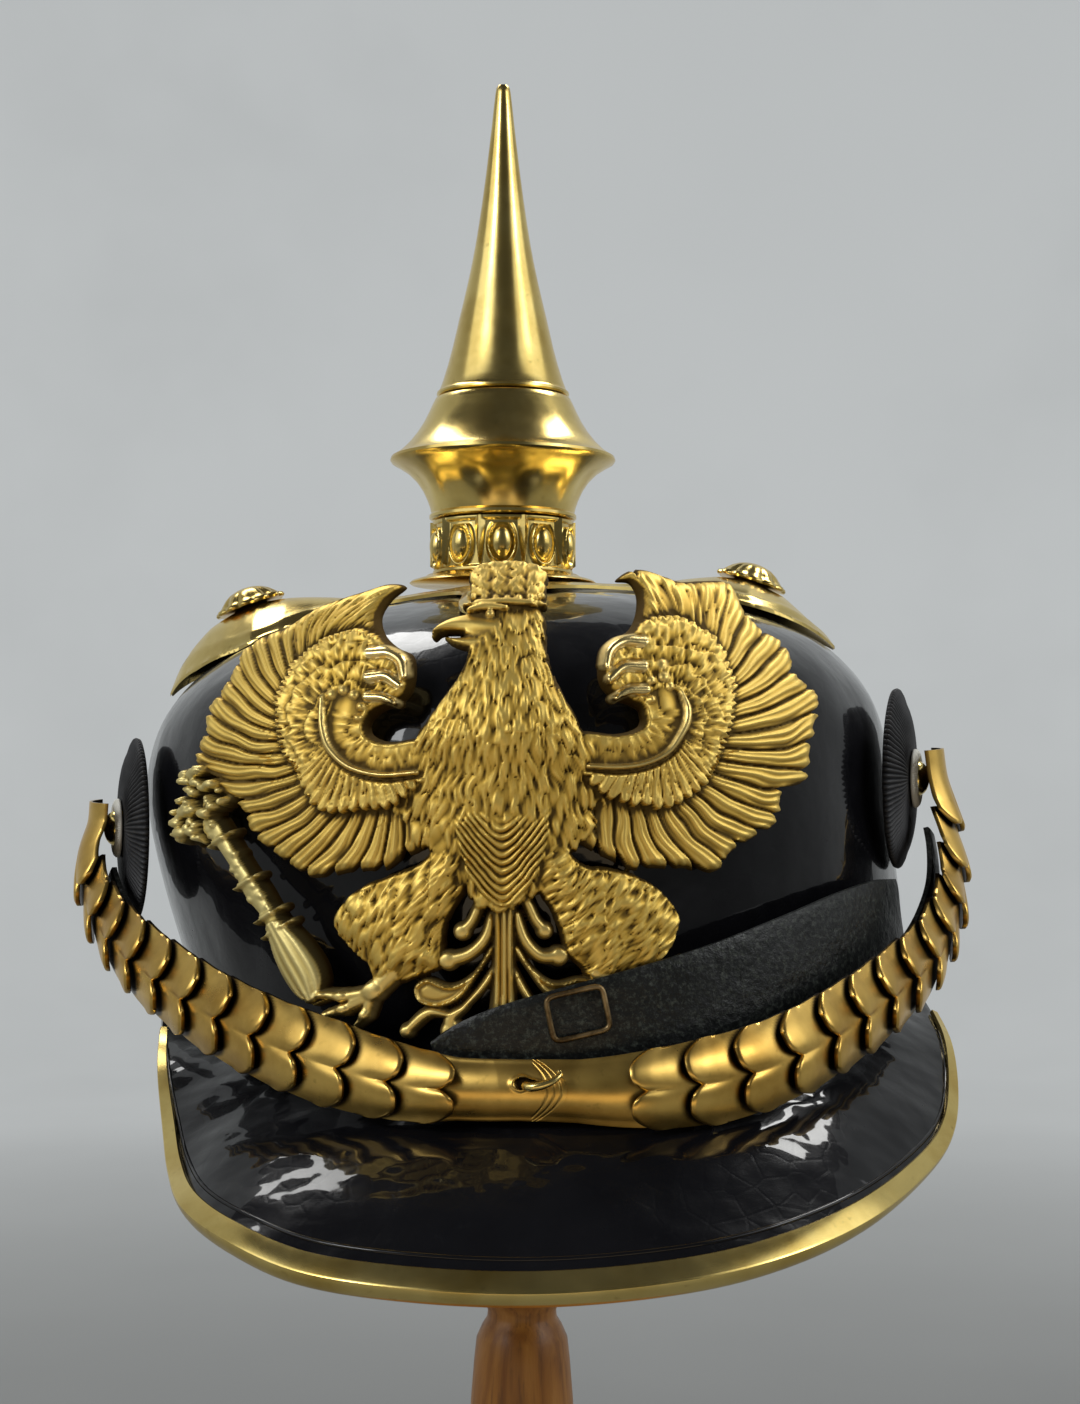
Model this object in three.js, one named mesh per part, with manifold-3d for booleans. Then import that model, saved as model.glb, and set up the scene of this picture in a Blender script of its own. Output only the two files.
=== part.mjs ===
// A spiked officer's helmet of lacquered leather and brass, held up by a turned wooden stand.
// Millimetres, +Z up, the brow faces -Y, and the origin is the centre of the stand's foot on the floor.
import * as THREE from "three";
import { mergeVertices } from "three/addons/utils/BufferGeometryUtils.js";
import { TessellateModifier } from "three/addons/modifiers/TessellateModifier.js";
import Module from "manifold-3d";

const wasm = await Module();
wasm.setup();

const { cos, sin, sqrt, abs, hypot, min, max, PI } = Math;
const V3 = (x, y, z) => new THREE.Vector3(x, y, z);
const V2 = (x, y) => new THREE.Vector2(x, y);
const lerp = THREE.MathUtils.lerp;
const clamp = THREE.MathUtils.clamp;
const rad = THREE.MathUtils.degToRad;

// ---------------------------------------------------------------- driving dimensions
const GAP = 0.35; // air between two pieces that touch
const SIGHT = 290; // height of the cockades' line, from which the helmet's heights are measured

// Skull
const SHELL_HALF_WIDTH = 93.5;
const SHELL_FRONT = 100; // from the middle to the brow
const SHELL_REAR = 112; // from the middle to the nape
const SHELL_MIDDLE_X = -1;
const SHELL_WALL = 2.2;
const BROW = -3; // where the upright wall turns into the dome
const DOME_RISE = 47;
const DOME_POWER = 2.5; // 2 is an ellipse, more is squarer
const WALL_DROP = 59; // from the brow line to the rim at the sides
const FRONT_DROP = 6; // how much lower the rim is at the front
const RIM_TAPER = 0.045;
const RIM_SHIFT = 6; // the rim has moved sideways from the dome
const SHELL_ROLL = rad(3); // the skull leans, its +X side higher
const SHELL_SIDES = 48;

// Visors
const VISOR_WALL = 2.2;
const TRIM_WIDTH = 4.4;
const TRIM_WALL = 0.8;
const TRIM_END_SHARE = 0.4;
const REAR_VISOR_REACH = 52;

// Spike
const SPIKE_X = -5;
const PEARLS = 10;
const PEARL_HALF_WIDTH = 3.2;
const PEARL_HALF_HEIGHT = 4.7;
const PEARL_RELIEF = 2.2;
const PEARL_REACH = 17.9; // from the spike's axis to the middle of a pearl
const PEARL_HEIGHT = 57.2; // over the sight line

// Cross
const CROSS_WALL = 1.2;
const STUD_RADIUS = 8.6;
const STUD_HEIGHT = 5.2;

// Eagle
const EAGLE_X = -5;
const EAGLE_WALL = 2.4;

// Chinscales
const BAND_HALF_WIDTH = 102.5;
const BAND_FRONT = 111.5;
const SCALE_PITCH = 10.9;
const SCALE_LENGTH = 16.5;
const SCALE_WALL = 0.8;
const SCALE_ARCH = 3; // how far a scale's middle stands out past its edges
const BACKING_WIDTH = 11;
const BACKING_WALL = 1.4;
const BACKING_START = 20; // from the band's ends to the leather, which stops short of the bosses

// Cockades
const COCKADE_RADIUS = 21.5;
const COCKADE_TURN = rad(17); // how far its face looks forward of straight sideways

// ---------------------------------------------------------------- materials
const finish = (color, roughness, metalness) =>
  new THREE.MeshStandardMaterial({ color, roughness, metalness });
const brass = () => finish(0xc9a544, 0.25, 1);
const gilt = () => finish(0xc49a38, 0.45, 1);
const blackLeather = () => finish(0x0c0c0e, 0.25, 0);
const wood = () => finish(0x9a5f35, 0.45, 0);

// ---------------------------------------------------------------- mesh helpers
// A closed mesh from points and triangles, turned to face outwards.
function closedMesh(points, triangles) {
  let volume = 0;
  for (const [a, b, c] of triangles) {
    volume += points[a].dot(V3(0, 0, 0).crossVectors(points[b], points[c]));
  }
  const index = triangles.flatMap(([a, b, c]) => (volume < 0 ? [a, c, b] : [a, b, c]));
  const geometry = new THREE.BufferGeometry();
  const places = points.flatMap((p) => [p.x, p.y, p.z]);
  geometry.setAttribute("position", new THREE.Float32BufferAttribute(places, 3));
  geometry.setIndex(index);
  geometry.computeVertexNormals();
  return geometry;
}

// A skin over closed rings of points; a ring of one point is a pole.
function ringSkin(rings) {
  const points = rings.flat();
  const triangles = [];
  let start = 0;
  for (let i = 0; i + 1 < rings.length; i++) {
    const a = rings[i].length;
    const b = rings[i + 1].length;
    const n = max(a, b);
    const next = start + a;
    for (let j = 0; j < n; j++) {
      const k = (j + 1) % n;
      if (a > 1) triangles.push([start + j, start + k, b > 1 ? next + j : next]);
      if (b > 1) triangles.push([a > 1 ? start + k : start, next + k, next + j]);
    }
    start = next;
  }
  return closedMesh(points, triangles);
}

// A profile carried along frames of { o, u, v }, its two ends filled.
function sweep(profile, frames) {
  const n = profile.length;
  const points = frames.flatMap(({ o, u, v }) =>
    profile.map((p) => o.clone().addScaledVector(u, p.x).addScaledVector(v, p.y)),
  );
  const triangles = [];
  for (let i = 0; i + 1 < frames.length; i++) {
    for (let j = 0; j < n; j++) {
      const k = (j + 1) % n;
      const [a, b, c, d] = [i * n + j, i * n + k, (i + 1) * n + k, (i + 1) * n + j];
      triangles.push([a, b, c], [a, c, d]);
    }
  }
  // the ends are turned to agree with the side faces, which run with the profile
  const reversed = THREE.ShapeUtils.isClockWise(profile);
  const last = (frames.length - 1) * n;
  for (const [a, b, c] of THREE.ShapeUtils.triangulateShape(profile, [])) {
    triangles.push(reversed ? [a, b, c] : [a, c, b]);
    triangles.push(reversed ? [last + a, last + c, last + b] : [last + a, last + b, last + c]);
  }
  return closedMesh(points, triangles);
}

// A plate between two grids of points with the same rows and columns.
function plate(top, bottom) {
  const rows = top.length;
  const columns = top[0].length;
  const points = [...top.flat(), ...bottom.flat()];
  const under = rows * columns;
  const at = (i, j) => i * columns + j;
  const triangles = [];
  const quad = (a, b, c, d) => triangles.push([a, b, c], [a, c, d]);
  for (let i = 0; i + 1 < rows; i++) {
    for (let j = 0; j + 1 < columns; j++) {
      quad(at(i, j), at(i, j + 1), at(i + 1, j + 1), at(i + 1, j));
      quad(under + at(i, j), under + at(i + 1, j), under + at(i + 1, j + 1), under + at(i, j + 1));
    }
  }
  for (let i = 0; i + 1 < rows; i++) {
    const end = columns - 1;
    quad(at(i, 0), at(i + 1, 0), under + at(i + 1, 0), under + at(i, 0));
    quad(at(i + 1, end), at(i, end), under + at(i, end), under + at(i + 1, end));
  }
  for (let j = 0; j + 1 < columns; j++) {
    quad(at(0, j + 1), at(0, j), under + at(0, j), under + at(0, j + 1));
    quad(at(rows - 1, j), at(rows - 1, j + 1), under + at(rows - 1, j + 1), under + at(rows - 1, j));
  }
  return closedMesh(points, triangles);
}

// The unit normals of a grid of points.
function gridNormals(grid) {
  const rows = grid.length;
  const columns = grid[0].length;
  return grid.map((row, i) =>
    row.map((_, j) => {
      const along = grid[min(i + 1, rows - 1)][j].clone().sub(grid[max(i - 1, 0)][j]);
      const across = row[min(j + 1, columns - 1)].clone().sub(row[max(j - 1, 0)]);
      return along.cross(across).normalize();
    }),
  );
}

// A sheet of one thickness whose middle surface is the grid.
function sheet(grid, wall) {
  const normals = gridNormals(grid);
  const moved = (p, i, j, by) => p.clone().addScaledVector(normals[i][j], by);
  const shifted = (by) => grid.map((row, i) => row.map((p, j) => moved(p, i, j, by)));
  return plate(shifted(wall / 2), shifted(-wall / 2));
}

// The points of a level circle about an upright axis.
function circle(radius, height, sides) {
  return Array.from({ length: sides }, (_, i) => {
    const a = (2 * PI * i) / sides;
    return V3(radius * cos(a), radius * sin(a), height);
  });
}

// A turned solid about an upright axis; rows of [radius, height], starting and ending on the axis.
function turned(profile, sides) {
  return ringSkin(profile.map(([r, z]) => (r === 0 ? [V3(0, 0, z)] : circle(r, z, sides))));
}

function solidOf(geometry) {
  const bare = geometry.clone();
  bare.deleteAttribute("normal");
  bare.deleteAttribute("uv");
  const merged = mergeVertices(bare, 1e-4);
  const mesh = new wasm.Mesh({
    numProp: 3,
    vertProperties: merged.attributes.position.array,
    triVerts: new Uint32Array(merged.index.array),
  });
  return new wasm.Manifold(mesh);
}

function geometryOf(solid) {
  const mesh = solid.getMesh();
  const geometry = new THREE.BufferGeometry();
  geometry.setAttribute("position", new THREE.BufferAttribute(mesh.vertProperties, 3));
  geometry.setIndex(new THREE.BufferAttribute(mesh.triVerts, 1));
  geometry.computeVertexNormals();
  return geometry;
}

const joined = (geometries) => geometryOf(geometries.map(solidOf).reduce((a, b) => a.add(b)));

// A value read from a table of [key, value] rows by straight lines between them.
function fromTable(table, key) {
  if (key <= table[0][0]) return table[0][1];
  for (let i = 0; i + 1 < table.length; i++) {
    const [a, va] = table[i];
    const [b, vb] = table[i + 1];
    if (key <= b) return lerp(va, vb, (key - a) / (b - a));
  }
  return table.at(-1)[1];
}

const group = new THREE.Group();
function piece(name, geometry, material, parent = group) {
  const mesh = new THREE.Mesh(geometry, material);
  mesh.name = name;
  parent.add(mesh);
  return mesh;
}

// ---------------------------------------------------------------- skull
// The skull leans about the middle of its brow line.
function leaned(p) {
  const x = p.x - SHELL_MIDDLE_X;
  const z = p.z - SIGHT - BROW;
  return V3(
    SHELL_MIDDLE_X + x * cos(SHELL_ROLL) - z * sin(SHELL_ROLL),
    p.y,
    SIGHT + BROW + x * sin(SHELL_ROLL) + z * cos(SHELL_ROLL),
  );
}

const shellDepth = (turn, inset) => (cos(turn) > 0 ? SHELL_FRONT : SHELL_REAR) - inset;

// How far the rim lies under the brow line.
const rimDrop = (turn) => WALL_DROP + FRONT_DROP * max(0, cos(turn)) ** 1.3;

// A point on the upright wall: turn is measured from the brow towards +X, drop from the brow line.
function wallPoint(turn, drop, inset = 0) {
  const share = clamp(drop / WALL_DROP, 0, 1);
  const ease = share * share * (3 - 2 * share);
  const scale = 1 - RIM_TAPER * ease;
  const x = SHELL_MIDDLE_X + RIM_SHIFT * ease + (SHELL_HALF_WIDTH - inset) * scale * sin(turn);
  const y = -shellDepth(turn, inset) * scale * cos(turn);
  return leaned(V3(x, y, SIGHT + BROW - drop));
}

// A point on the dome: lift runs from 0 at the brow line to 90 degrees at the top.
function domePoint(turn, lift, inset = 0) {
  const out = cos(lift) ** (2 / DOME_POWER);
  const up = sin(lift) ** (2 / DOME_POWER);
  const x = SHELL_MIDDLE_X + (SHELL_HALF_WIDTH - inset) * out * sin(turn);
  const y = -shellDepth(turn, inset) * out * cos(turn);
  return leaned(V3(x, y, SIGHT + BROW + (DOME_RISE - inset) * up));
}

// The height of the dome's leather over a point of the plan.
function domeHeight(x, y) {
  const across = (x - SHELL_MIDDLE_X) / SHELL_HALF_WIDTH;
  const along = y / (y < 0 ? SHELL_FRONT : SHELL_REAR);
  const out = min(hypot(across, along), 1);
  const flat = DOME_RISE * (1 - out ** DOME_POWER) ** (1 / DOME_POWER);
  return SIGHT + BROW + flat + (x - SHELL_MIDDLE_X) * sin(SHELL_ROLL);
}

function shellGeometry() {
  const turns = Array.from({ length: SHELL_SIDES }, (_, i) => (2 * PI * i) / SHELL_SIDES);
  const lifts = [10, 20, 30, 40, 50, 60, 70, 80].map(rad);
  const dropShares = [1, 0.68, 0.34, 0];
  const side = (inset) => [
    ...dropShares.map((share) => turns.map((turn) => wallPoint(turn, share * rimDrop(turn), inset))),
    ...lifts.map((lift) => turns.map((turn) => domePoint(turn, lift, inset))),
    [domePoint(0, PI / 2, inset)],
  ];
  return ringSkin([...side(0).reverse(), ...side(SHELL_WALL)]);
}

piece("shell", shellGeometry(), blackLeather());

// ---------------------------------------------------------------- visors
// The front visor's outer edge, from its left end to its right; heights are from the sight line.
const VISOR_EDGE = [
  // x, y, height
  [-86.5, -33, -59.5],
  [-82.5, -55, -69],
  [-76.5, -78, -80],
  [-72.5, -93, -86],
  [-66.5, -110.5, -90],
  [-55, -127, -93],
  [-41, -137.5, -96],
  [-18, -144.5, -97.6],
  [8, -145.5, -98],
  [36, -141, -96],
  [53.5, -133, -93.3],
  [68, -121, -90],
  [82, -102, -85.5],
  [91, -86, -81],
  [95.5, -73, -75.5],
  [98.6, -52, -65],
  [97, -31, -56],
].map(([x, y, z]) => V3(x, y, SIGHT + z));
const VISOR_SEAM_TURNS = [rad(-67), rad(73)]; // where its seam starts and ends on the rim
const VISOR_STEPS = 30;
const VISOR_ROWS = [0, 0.25, 0.5, 0.75, 1];
const VISOR_BULGE = 2.5;

const visorEdge = new THREE.CatmullRomCurve3(VISOR_EDGE, false, "centripetal");

function visorGrid() {
  return VISOR_ROWS.map((share) =>
    Array.from({ length: VISOR_STEPS + 1 }, (_, i) => {
      const t = i / VISOR_STEPS;
      const turn = lerp(...VISOR_SEAM_TURNS, t);
      const seam = wallPoint(turn, rimDrop(turn) - 2, -(VISOR_WALL / 2 + GAP + 0.4));
      const edge = visorEdge.getPointAt(t);
      const p = seam.lerp(edge, share);
      const swell = VISOR_BULGE * sin(PI * share) * sin(PI * clamp(t, 0.04, 0.96));
      return p.add(V3(sin(turn) * swell * 0.5, -cos(turn) * swell * 0.5, swell * 0.8));
    }),
  );
}

const frontVisor = visorGrid();
piece("front_visor", sheet(frontVisor, VISOR_WALL), blackLeather());

// The brass channel closes over the visor's edge: u points out past the edge, v across the leather.
function trimGeometry() {
  const inside = VISOR_WALL / 2 + GAP + 0.2;
  const outside = inside + TRIM_WALL;
  const profile = [
    V2(-TRIM_WIDTH, outside),
    V2(0.4, outside),
    V2(GAP + TRIM_WALL, outside * 0.5),
    V2(GAP + TRIM_WALL, -outside * 0.5),
    V2(0.4, -outside),
    V2(-TRIM_WIDTH, -outside),
    V2(-TRIM_WIDTH, -inside),
    V2(GAP, -inside),
    V2(GAP, inside),
    V2(-TRIM_WIDTH, inside),
  ];
  const normals = gridNormals(frontVisor);
  const last = frontVisor.length - 1;
  const edge = frontVisor[last].slice(1, -1);
  const frames = edge.map((o, at) => {
    const i = at + 1;
    const v = normals[last][i];
    const u = o.clone().sub(frontVisor[last - 1][i]);
    u.addScaledVector(v, -u.dot(v)).normalize();
    const before = frontVisor[last][max(i - 1, 0)];
    const after = frontVisor[last][min(i + 1, VISOR_STEPS)];
    const along = after.clone().sub(before).normalize();
    u.addScaledVector(along, -u.dot(along)).normalize();
    // the channel is narrower towards its two ends
    u.multiplyScalar(lerp(TRIM_END_SHARE, 1, sqrt(sin((PI * i) / VISOR_STEPS))));
    return { o: o.clone().addScaledVector(u, GAP), u, v };
  });
  return sweep(profile, frames);
}

piece("visor_trim", trimGeometry(), brass());

function rearVisorGrid() {
  const steps = 22;
  return [0, 0.33, 0.67, 1].map((share) =>
    Array.from({ length: steps + 1 }, (_, i) => {
      const t = i / steps;
      const turn = lerp(rad(97), rad(263), t);
      const seam = wallPoint(turn, rimDrop(turn) - 2, -(VISOR_WALL / 2 + GAP + 0.4));
      const reach = REAR_VISOR_REACH * max(0.14, sin(PI * t) ** 0.55) * share;
      const slope = rad(lerp(70, 52, share));
      const out = V3(sin(turn), -cos(turn), 0).multiplyScalar(reach * cos(slope));
      return seam.add(out).add(V3(0, 0, -reach * sin(slope)));
    }),
  );
}

piece("rear_visor", sheet(rearVisorGrid(), VISOR_WALL), blackLeather());

// ---------------------------------------------------------------- cross
// Each arm of the base: half its width, and how far its ridge and its edges stand off the leather.
const SIDE_LEAF = [
  [18, 15],
  [30, 13.5],
  [40, 12.5],
  [48, 16],
  [55, 20.5],
  [62, 21.5],
  [70, 18],
  [77, 12],
  [82, 6.5],
  [85.5, 1.5],
];
const FRONT_LEAF = [
  [18, 15],
  [30, 12],
  [40, 9.5],
  [52, 8.6],
  [62, 9],
  [68, 8],
  [72, 5],
  [75, 1.5],
];
const LOW_RIDGE = [[18, 1.6], [40, 3.5], [55, 7], [63, 8], [72, 6.6], [80, 3], [86, 1.8]];
const HIGH_RIDGE = [[18, 1.6], [40, 5], [55, 9.5], [65, 12], [75, 12.5], [80, 11.5], [86, 8.6]];
const FRONT_RIDGE = [[18, 1.6], [40, 2.6], [60, 3.2], [75, 1.8]];
const LOW_EDGE = [[18, 1.6], [55, 1.4], [72, 1.5], [86, 1.7]];
const HIGH_EDGE = [[18, 1.6], [55, 1.5], [66, 1.8], [77, 4.5], [86, 8.4]];
const LOW_ARM = { leaf: SIDE_LEAF, ridge: LOW_RIDGE, edge: LOW_EDGE, studScale: 1 };
const SLIM_ARM = { leaf: FRONT_LEAF, ridge: FRONT_RIDGE, edge: LOW_EDGE, studScale: 0.75 };
const ARMS = [
  { ...SLIM_ARM, name: "front", heading: V2(0, -1), stud: 64 },
  { ...LOW_ARM, name: "left", heading: V2(-1, 0), ridge: HIGH_RIDGE, edge: HIGH_EDGE, stud: 65 },
  { ...LOW_ARM, name: "right", heading: V2(1, 0), stud: 64 },
  { ...LOW_ARM, name: "rear", heading: V2(0, 1), stud: 65 },
];

// A point of an arm: reach from the spike's axis, side from -1 to 1 across it.
function armPoint({ heading, leaf, ridge, edge }, reach, side) {
  const across = side * fromTable(leaf, reach);
  const x = SPIKE_X + heading.x * reach - heading.y * across;
  const y = heading.y * reach + heading.x * across;
  const lift = lerp(fromTable(ridge, reach), fromTable(edge, reach), side * side);
  return V3(x, y, domeHeight(x, y) + lift);
}

function crossGeometry() {
  const sides = [-1, -0.7, -0.35, 0, 0.35, 0.7, 1];
  const arms = ARMS.map((arm) =>
    sheet(arm.leaf.map(([reach]) => sides.map((side) => armPoint(arm, reach, side))), CROSS_WALL),
  );
  const rings = [10, 20, 30].map((radius) =>
    Array.from({ length: 24 }, (_, i) => {
      const a = (2 * PI * i) / 24;
      const x = SPIKE_X + radius * cos(a);
      const y = radius * sin(a);
      return V3(x, y, domeHeight(x, y) + 1.6);
    }),
  );
  const middle = [V3(SPIKE_X, 0, domeHeight(SPIKE_X, 0) + 1.6)];
  const moved = (by) => [middle, ...rings].map((ring) => ring.map((p) => p.clone().add(V3(0, 0, by))));
  const disc = ringSkin([...moved(CROSS_WALL / 2), ...moved(-CROSS_WALL / 2).reverse()]);
  return joined([disc, ...arms]);
}

piece("base_cross", crossGeometry(), brass());

// A domed star stud that stands on the ridge of its arm.
function studGeometry(scale) {
  const profile = [
    [0, 0],
    [STUD_RADIUS, 0],
    [STUD_RADIUS, 0.9],
    [STUD_RADIUS * 0.82, 2.4],
    [STUD_RADIUS * 0.5, 4.2],
    [0, STUD_HEIGHT],
  ];
  return turned(profile.map(([r, z]) => [r * scale, z * scale]), 16);
}

for (const arm of ARMS) {
  const stud = piece(`stud_${arm.name}`, studGeometry(arm.studScale), brass());
  const middle = armPoint(arm, arm.stud, 0);
  const along = armPoint(arm, arm.stud + 4, 0).sub(armPoint(arm, arm.stud - 4, 0));
  const across = V3(-arm.heading.y, arm.heading.x, 0);
  const up = along.cross(across).normalize();
  if (up.z < 0) up.negate();
  stud.quaternion.setFromUnitVectors(V3(0, 0, 1), up);
  stud.position.copy(middle).addScaledVector(up, CROSS_WALL / 2 + GAP + 0.5);
}

// ---------------------------------------------------------------- spike
const spike = new THREE.Group();
spike.position.set(SPIKE_X, 0, SIGHT);
group.add(spike);

const NECK = [
  // radius, height
  [0, 47.8],
  [23.6, 47.8],
  [24, 48.3],
  [21.4, 49.2],
  [19.6, 50.2],
  [15.2, 50.3],
  [15.2, 64.2],
  [18.6, 64.6],
  [18.8, 66],
  [20.4, 71.6],
  [23.6, 75.8],
  [28.9, 79.4],
  [29.1, 80.4],
  [26.4, 82.4],
  [22.6, 86.2],
  [19.4, 91.4],
  [17.4, 95.4],
  [16.2, 96.2],
  [0, 96.2],
];
const CONE = [
  [0, 96.6],
  [16.9, 96.6],
  [17.1, 97.4],
  [16.2, 98.4],
  [13.8, 106.5],
  [11.5, 116.2],
  [9.2, 125.7],
  [7.2, 135.3],
  [4.4, 154.4],
  [2.4, 173],
  [1.7, 177.4],
  [0, 178.4],
];
piece("spike_neck", turned(NECK, 32), brass(), spike);
piece("spike_cone", turned(CONE, 28), brass(), spike);

const BAND_SECTION = [[16.8, 50.6], [18.4, 50.6], [17.7, 57.2], [18.4, 63.8], [16.8, 63.8]];
function pearlBandGeometry() {
  const band = ringLoop(BAND_SECTION.map(([radius, height]) => circle(radius, height, 30)));
  const pearls = Array.from({ length: PEARLS }, (_, i) => {
    const pearl = new THREE.SphereGeometry(1, 7, 5);
    pearl.rotateX(PI / 2);
    pearl.scale(PEARL_HALF_WIDTH, PEARL_RELIEF, PEARL_HALF_HEIGHT);
    pearl.translate(0, -PEARL_REACH, PEARL_HEIGHT);
    pearl.rotateZ((2 * PI * (i + 0.5)) / PEARLS);
    return pearl;
  });
  return joined([band, ...pearls]);
}

// A skin over closed rings whose last ring meets the first.
function ringLoop(rings) {
  const n = rings[0].length;
  const triangles = [];
  rings.forEach((_, i) => {
    const j = (i + 1) % rings.length;
    for (let k = 0; k < n; k++) {
      const l = (k + 1) % n;
      triangles.push([i * n + k, i * n + l, j * n + l], [i * n + k, j * n + l, j * n + k]);
    }
  });
  return closedMesh(rings.flat(), triangles);
}

piece("pearl_band", pearlBandGeometry(), brass(), spike);

// ---------------------------------------------------------------- eagle
// The eagle is bent round an oval form in front of the skull: x from its own middle, z from the sight line.
const EAGLE_HALF_WIDTH = 96.5;
const EAGLE_FRONT = 103;

function eaglePoint(x, z, out) {
  const lift = max(z - 5, 0) / 41;
  const narrow = 1 - 0.25 * lift * lift;
  const across = (x + EAGLE_X - SHELL_MIDDLE_X) / EAGLE_HALF_WIDTH;
  const depth = sqrt(max(narrow * narrow - across * across, 0.02));
  const y = -EAGLE_FRONT * depth;
  const normal = V3(across / EAGLE_HALF_WIDTH, -depth / EAGLE_FRONT, 0.0016 * lift).normalize();
  return V3(x + EAGLE_X, y, SIGHT + z).addScaledVector(normal, out);
}

// Outlines of its parts, as rows of x, z.
const EAGLE_OUTLINES = {
  body: [
    [-5, 35], [-5.5, 42], [-3, 44], [2.8, 45], [8.6, 44], [11, 42], [10.5, 35], [10.5, 26],
    [13.5, 15], [20, 7], [22, 0], [20, -10], [14, -18], [9, -25], [2, -28], [-5, -25],
    [-11, -18], [-17, -10], [-18, 0], [-14, 8], [-8, 15], [-5.5, 23], [-10, 25], [-6, 28.5],
    [-14.5, 29], [-12, 32.5], [-6, 34],
  ],
  leftWing: [
    [-14, 8], [-19, 4], [-25, 5.5], [-27, 9], [-22, 13], [-17.5, 17], [-17, 23.5], [-22, 27],
    [-24.5, 33], [-19, 40], [-25, 40.5], [-36, 36], [-46, 30], [-54, 24.5], [-61, 16], [-64.5, 6],
    [-64, 1], [-55, -6], [-52, -13], [-45, -19], [-38, -22.5], [-27, -21], [-17, -17], [-10, -12],
  ],
  rightWing: [
    [16, 8], [21, 6.5], [27, 5.5], [31, 9], [29, 13], [22.5, 17.5], [21.5, 22], [24, 27.5],
    [29.5, 32], [27, 42.5], [32, 44], [42, 42], [51, 42], [58, 35], [64, 24], [69, 16],
    [68, 6], [65, -2], [59, -12], [50, -17.5], [46, -21.5], [36, -20], [24, -18.5], [14, -13],
  ],
  leftLeg: [
    [-9, -15], [-17, -20], [-26, -24], [-32.5, -30], [-29, -37.5], [-24, -41], [-27, -48], [-36, -47],
    [-41, -51], [-34, -53], [-24, -52.5], [-20, -45], [-12, -42.5], [-9.5, -37], [-7, -28], [-3, -22],
  ],
  rightLeg: [
    [12, -14], [22, -20], [33, -23], [38, -31], [35, -38.5], [30, -41.5], [31, -46], [27, -47],
    [23, -43.5], [18, -41], [14, -36], [11, -29], [6, -22],
  ],
};

// Strokes of the tail and the sceptre, as rows of x, z, width.
const EAGLE_STROKES = [
  [[2, -22, 10], [2, -34, 6], [2, -50, 8]],
  [[-1, -26, 3], [-4, -31, 3], [-7.5, -33, 3.5]],
  [[5, -26, 3], [8, -31, 3], [10, -33, 3.5]],
  [[0.5, -32, 3], [-3, -37.5, 3], [-9, -39.5, 3.5]],
  [[3.5, -32, 3], [8, -37.5, 3], [13.5, -39, 3.5]],
  [[0.5, -38, 3], [-5, -45, 3.2], [-15, -47, 3.5]],
  [[3.5, -38, 3], [9, -44.5, 3.2], [19, -45.5, 3.5]],
  [[0.5, -44, 3.5], [-8, -52, 4], [-17, -54, 4]],
  [[3.5, -44, 3.5], [8, -51, 4], [13, -53, 4]],
  [[-36, -48.5, 6], [-39, -43.5, 10], [-43.5, -35.5, 7.5], [-47, -30, 5], [-50, -26.3, 6], [-53.5, -21.3, 4.5],
    [-57, -16, 4.5], [-59, -13, 9], [-63, -8.5, 15], [-66, -5, 12]],
];

const eagleSolid = (outline) => {
  const shape = new THREE.Shape(outline);
  return new THREE.ExtrudeGeometry(shape, { depth: 1, bevelEnabled: false, steps: 1 });
};

// A stroke's outline: its two sides, and a rounded far end.
function strokeOutline(rows) {
  const left = [];
  const right = [];
  rows.forEach(([x, z, width], i) => {
    const [x0, z0] = rows[max(i - 1, 0)];
    const [x1, z1] = rows[min(i + 1, rows.length - 1)];
    const along = V2(x1 - x0, z1 - z0).normalize();
    const aside = V2(-along.y, along.x).multiplyScalar(width / 2);
    left.push(V2(x, z).add(aside));
    right.push(V2(x, z).sub(aside));
    if (i === rows.length - 1) left.push(V2(x, z).addScaledVector(along, width / 2));
  });
  return [...left, ...right.reverse()];
}

function eagleGeometry() {
  const outlines = Object.values(EAGLE_OUTLINES).map((rows) => rows.map(([x, z]) => V2(x, z)));
  const flat = joined([...outlines, ...EAGLE_STROKES.map(strokeOutline)].map(eagleSolid));
  const fine = new TessellateModifier(9, 12).modify(flat.toNonIndexed());
  fine.deleteAttribute("normal");
  const merged = mergeVertices(fine, 1e-3);
  const place = merged.attributes.position;
  for (let i = 0; i < place.count; i++) {
    const [x, z, front] = [place.getX(i), place.getY(i), place.getZ(i)];
    const p = eaglePoint(x, z, front * EAGLE_WALL);
    place.setXYZ(i, p.x, p.y, p.z);
  }
  merged.computeVertexNormals();
  return merged;
}

piece("eagle_plate", eagleGeometry(), gilt());

// ---------------------------------------------------------------- chinscales
// The band's middle line: turn in degrees from the front, height from the sight line.
const BAND_LINE = [
  // turn, height, extra standing off
  [-71.3, -7.5, 0.8],
  [-71.5, -13, 1.2],
  [-71, -20, 3.5],
  [-68.5, -28.5, 4.6],
  [-64, -36, 4.2],
  [-56, -43, 2.8],
  [-49, -48, 1.4],
  [-42, -52.5, 0.6],
  [-28, -59.5, 0.2],
  [-14, -64.5, 0.2],
  [0, -65, 0.6],
  [10, -65, 2.4],
  [20, -63, 3.3],
  [28, -59.5, 3.3],
  [40, -53, 0.6],
  [49, -47.5, 0],
  [56, -43, 0.4],
  [62, -37, 1.2],
  [67, -29.5, 2.2],
  [70, -20, 2.6],
  [71.5, -10, 1.6],
  [71.5, -2, 0.8],
  [71.3, 5, 0.6],
];
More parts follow.
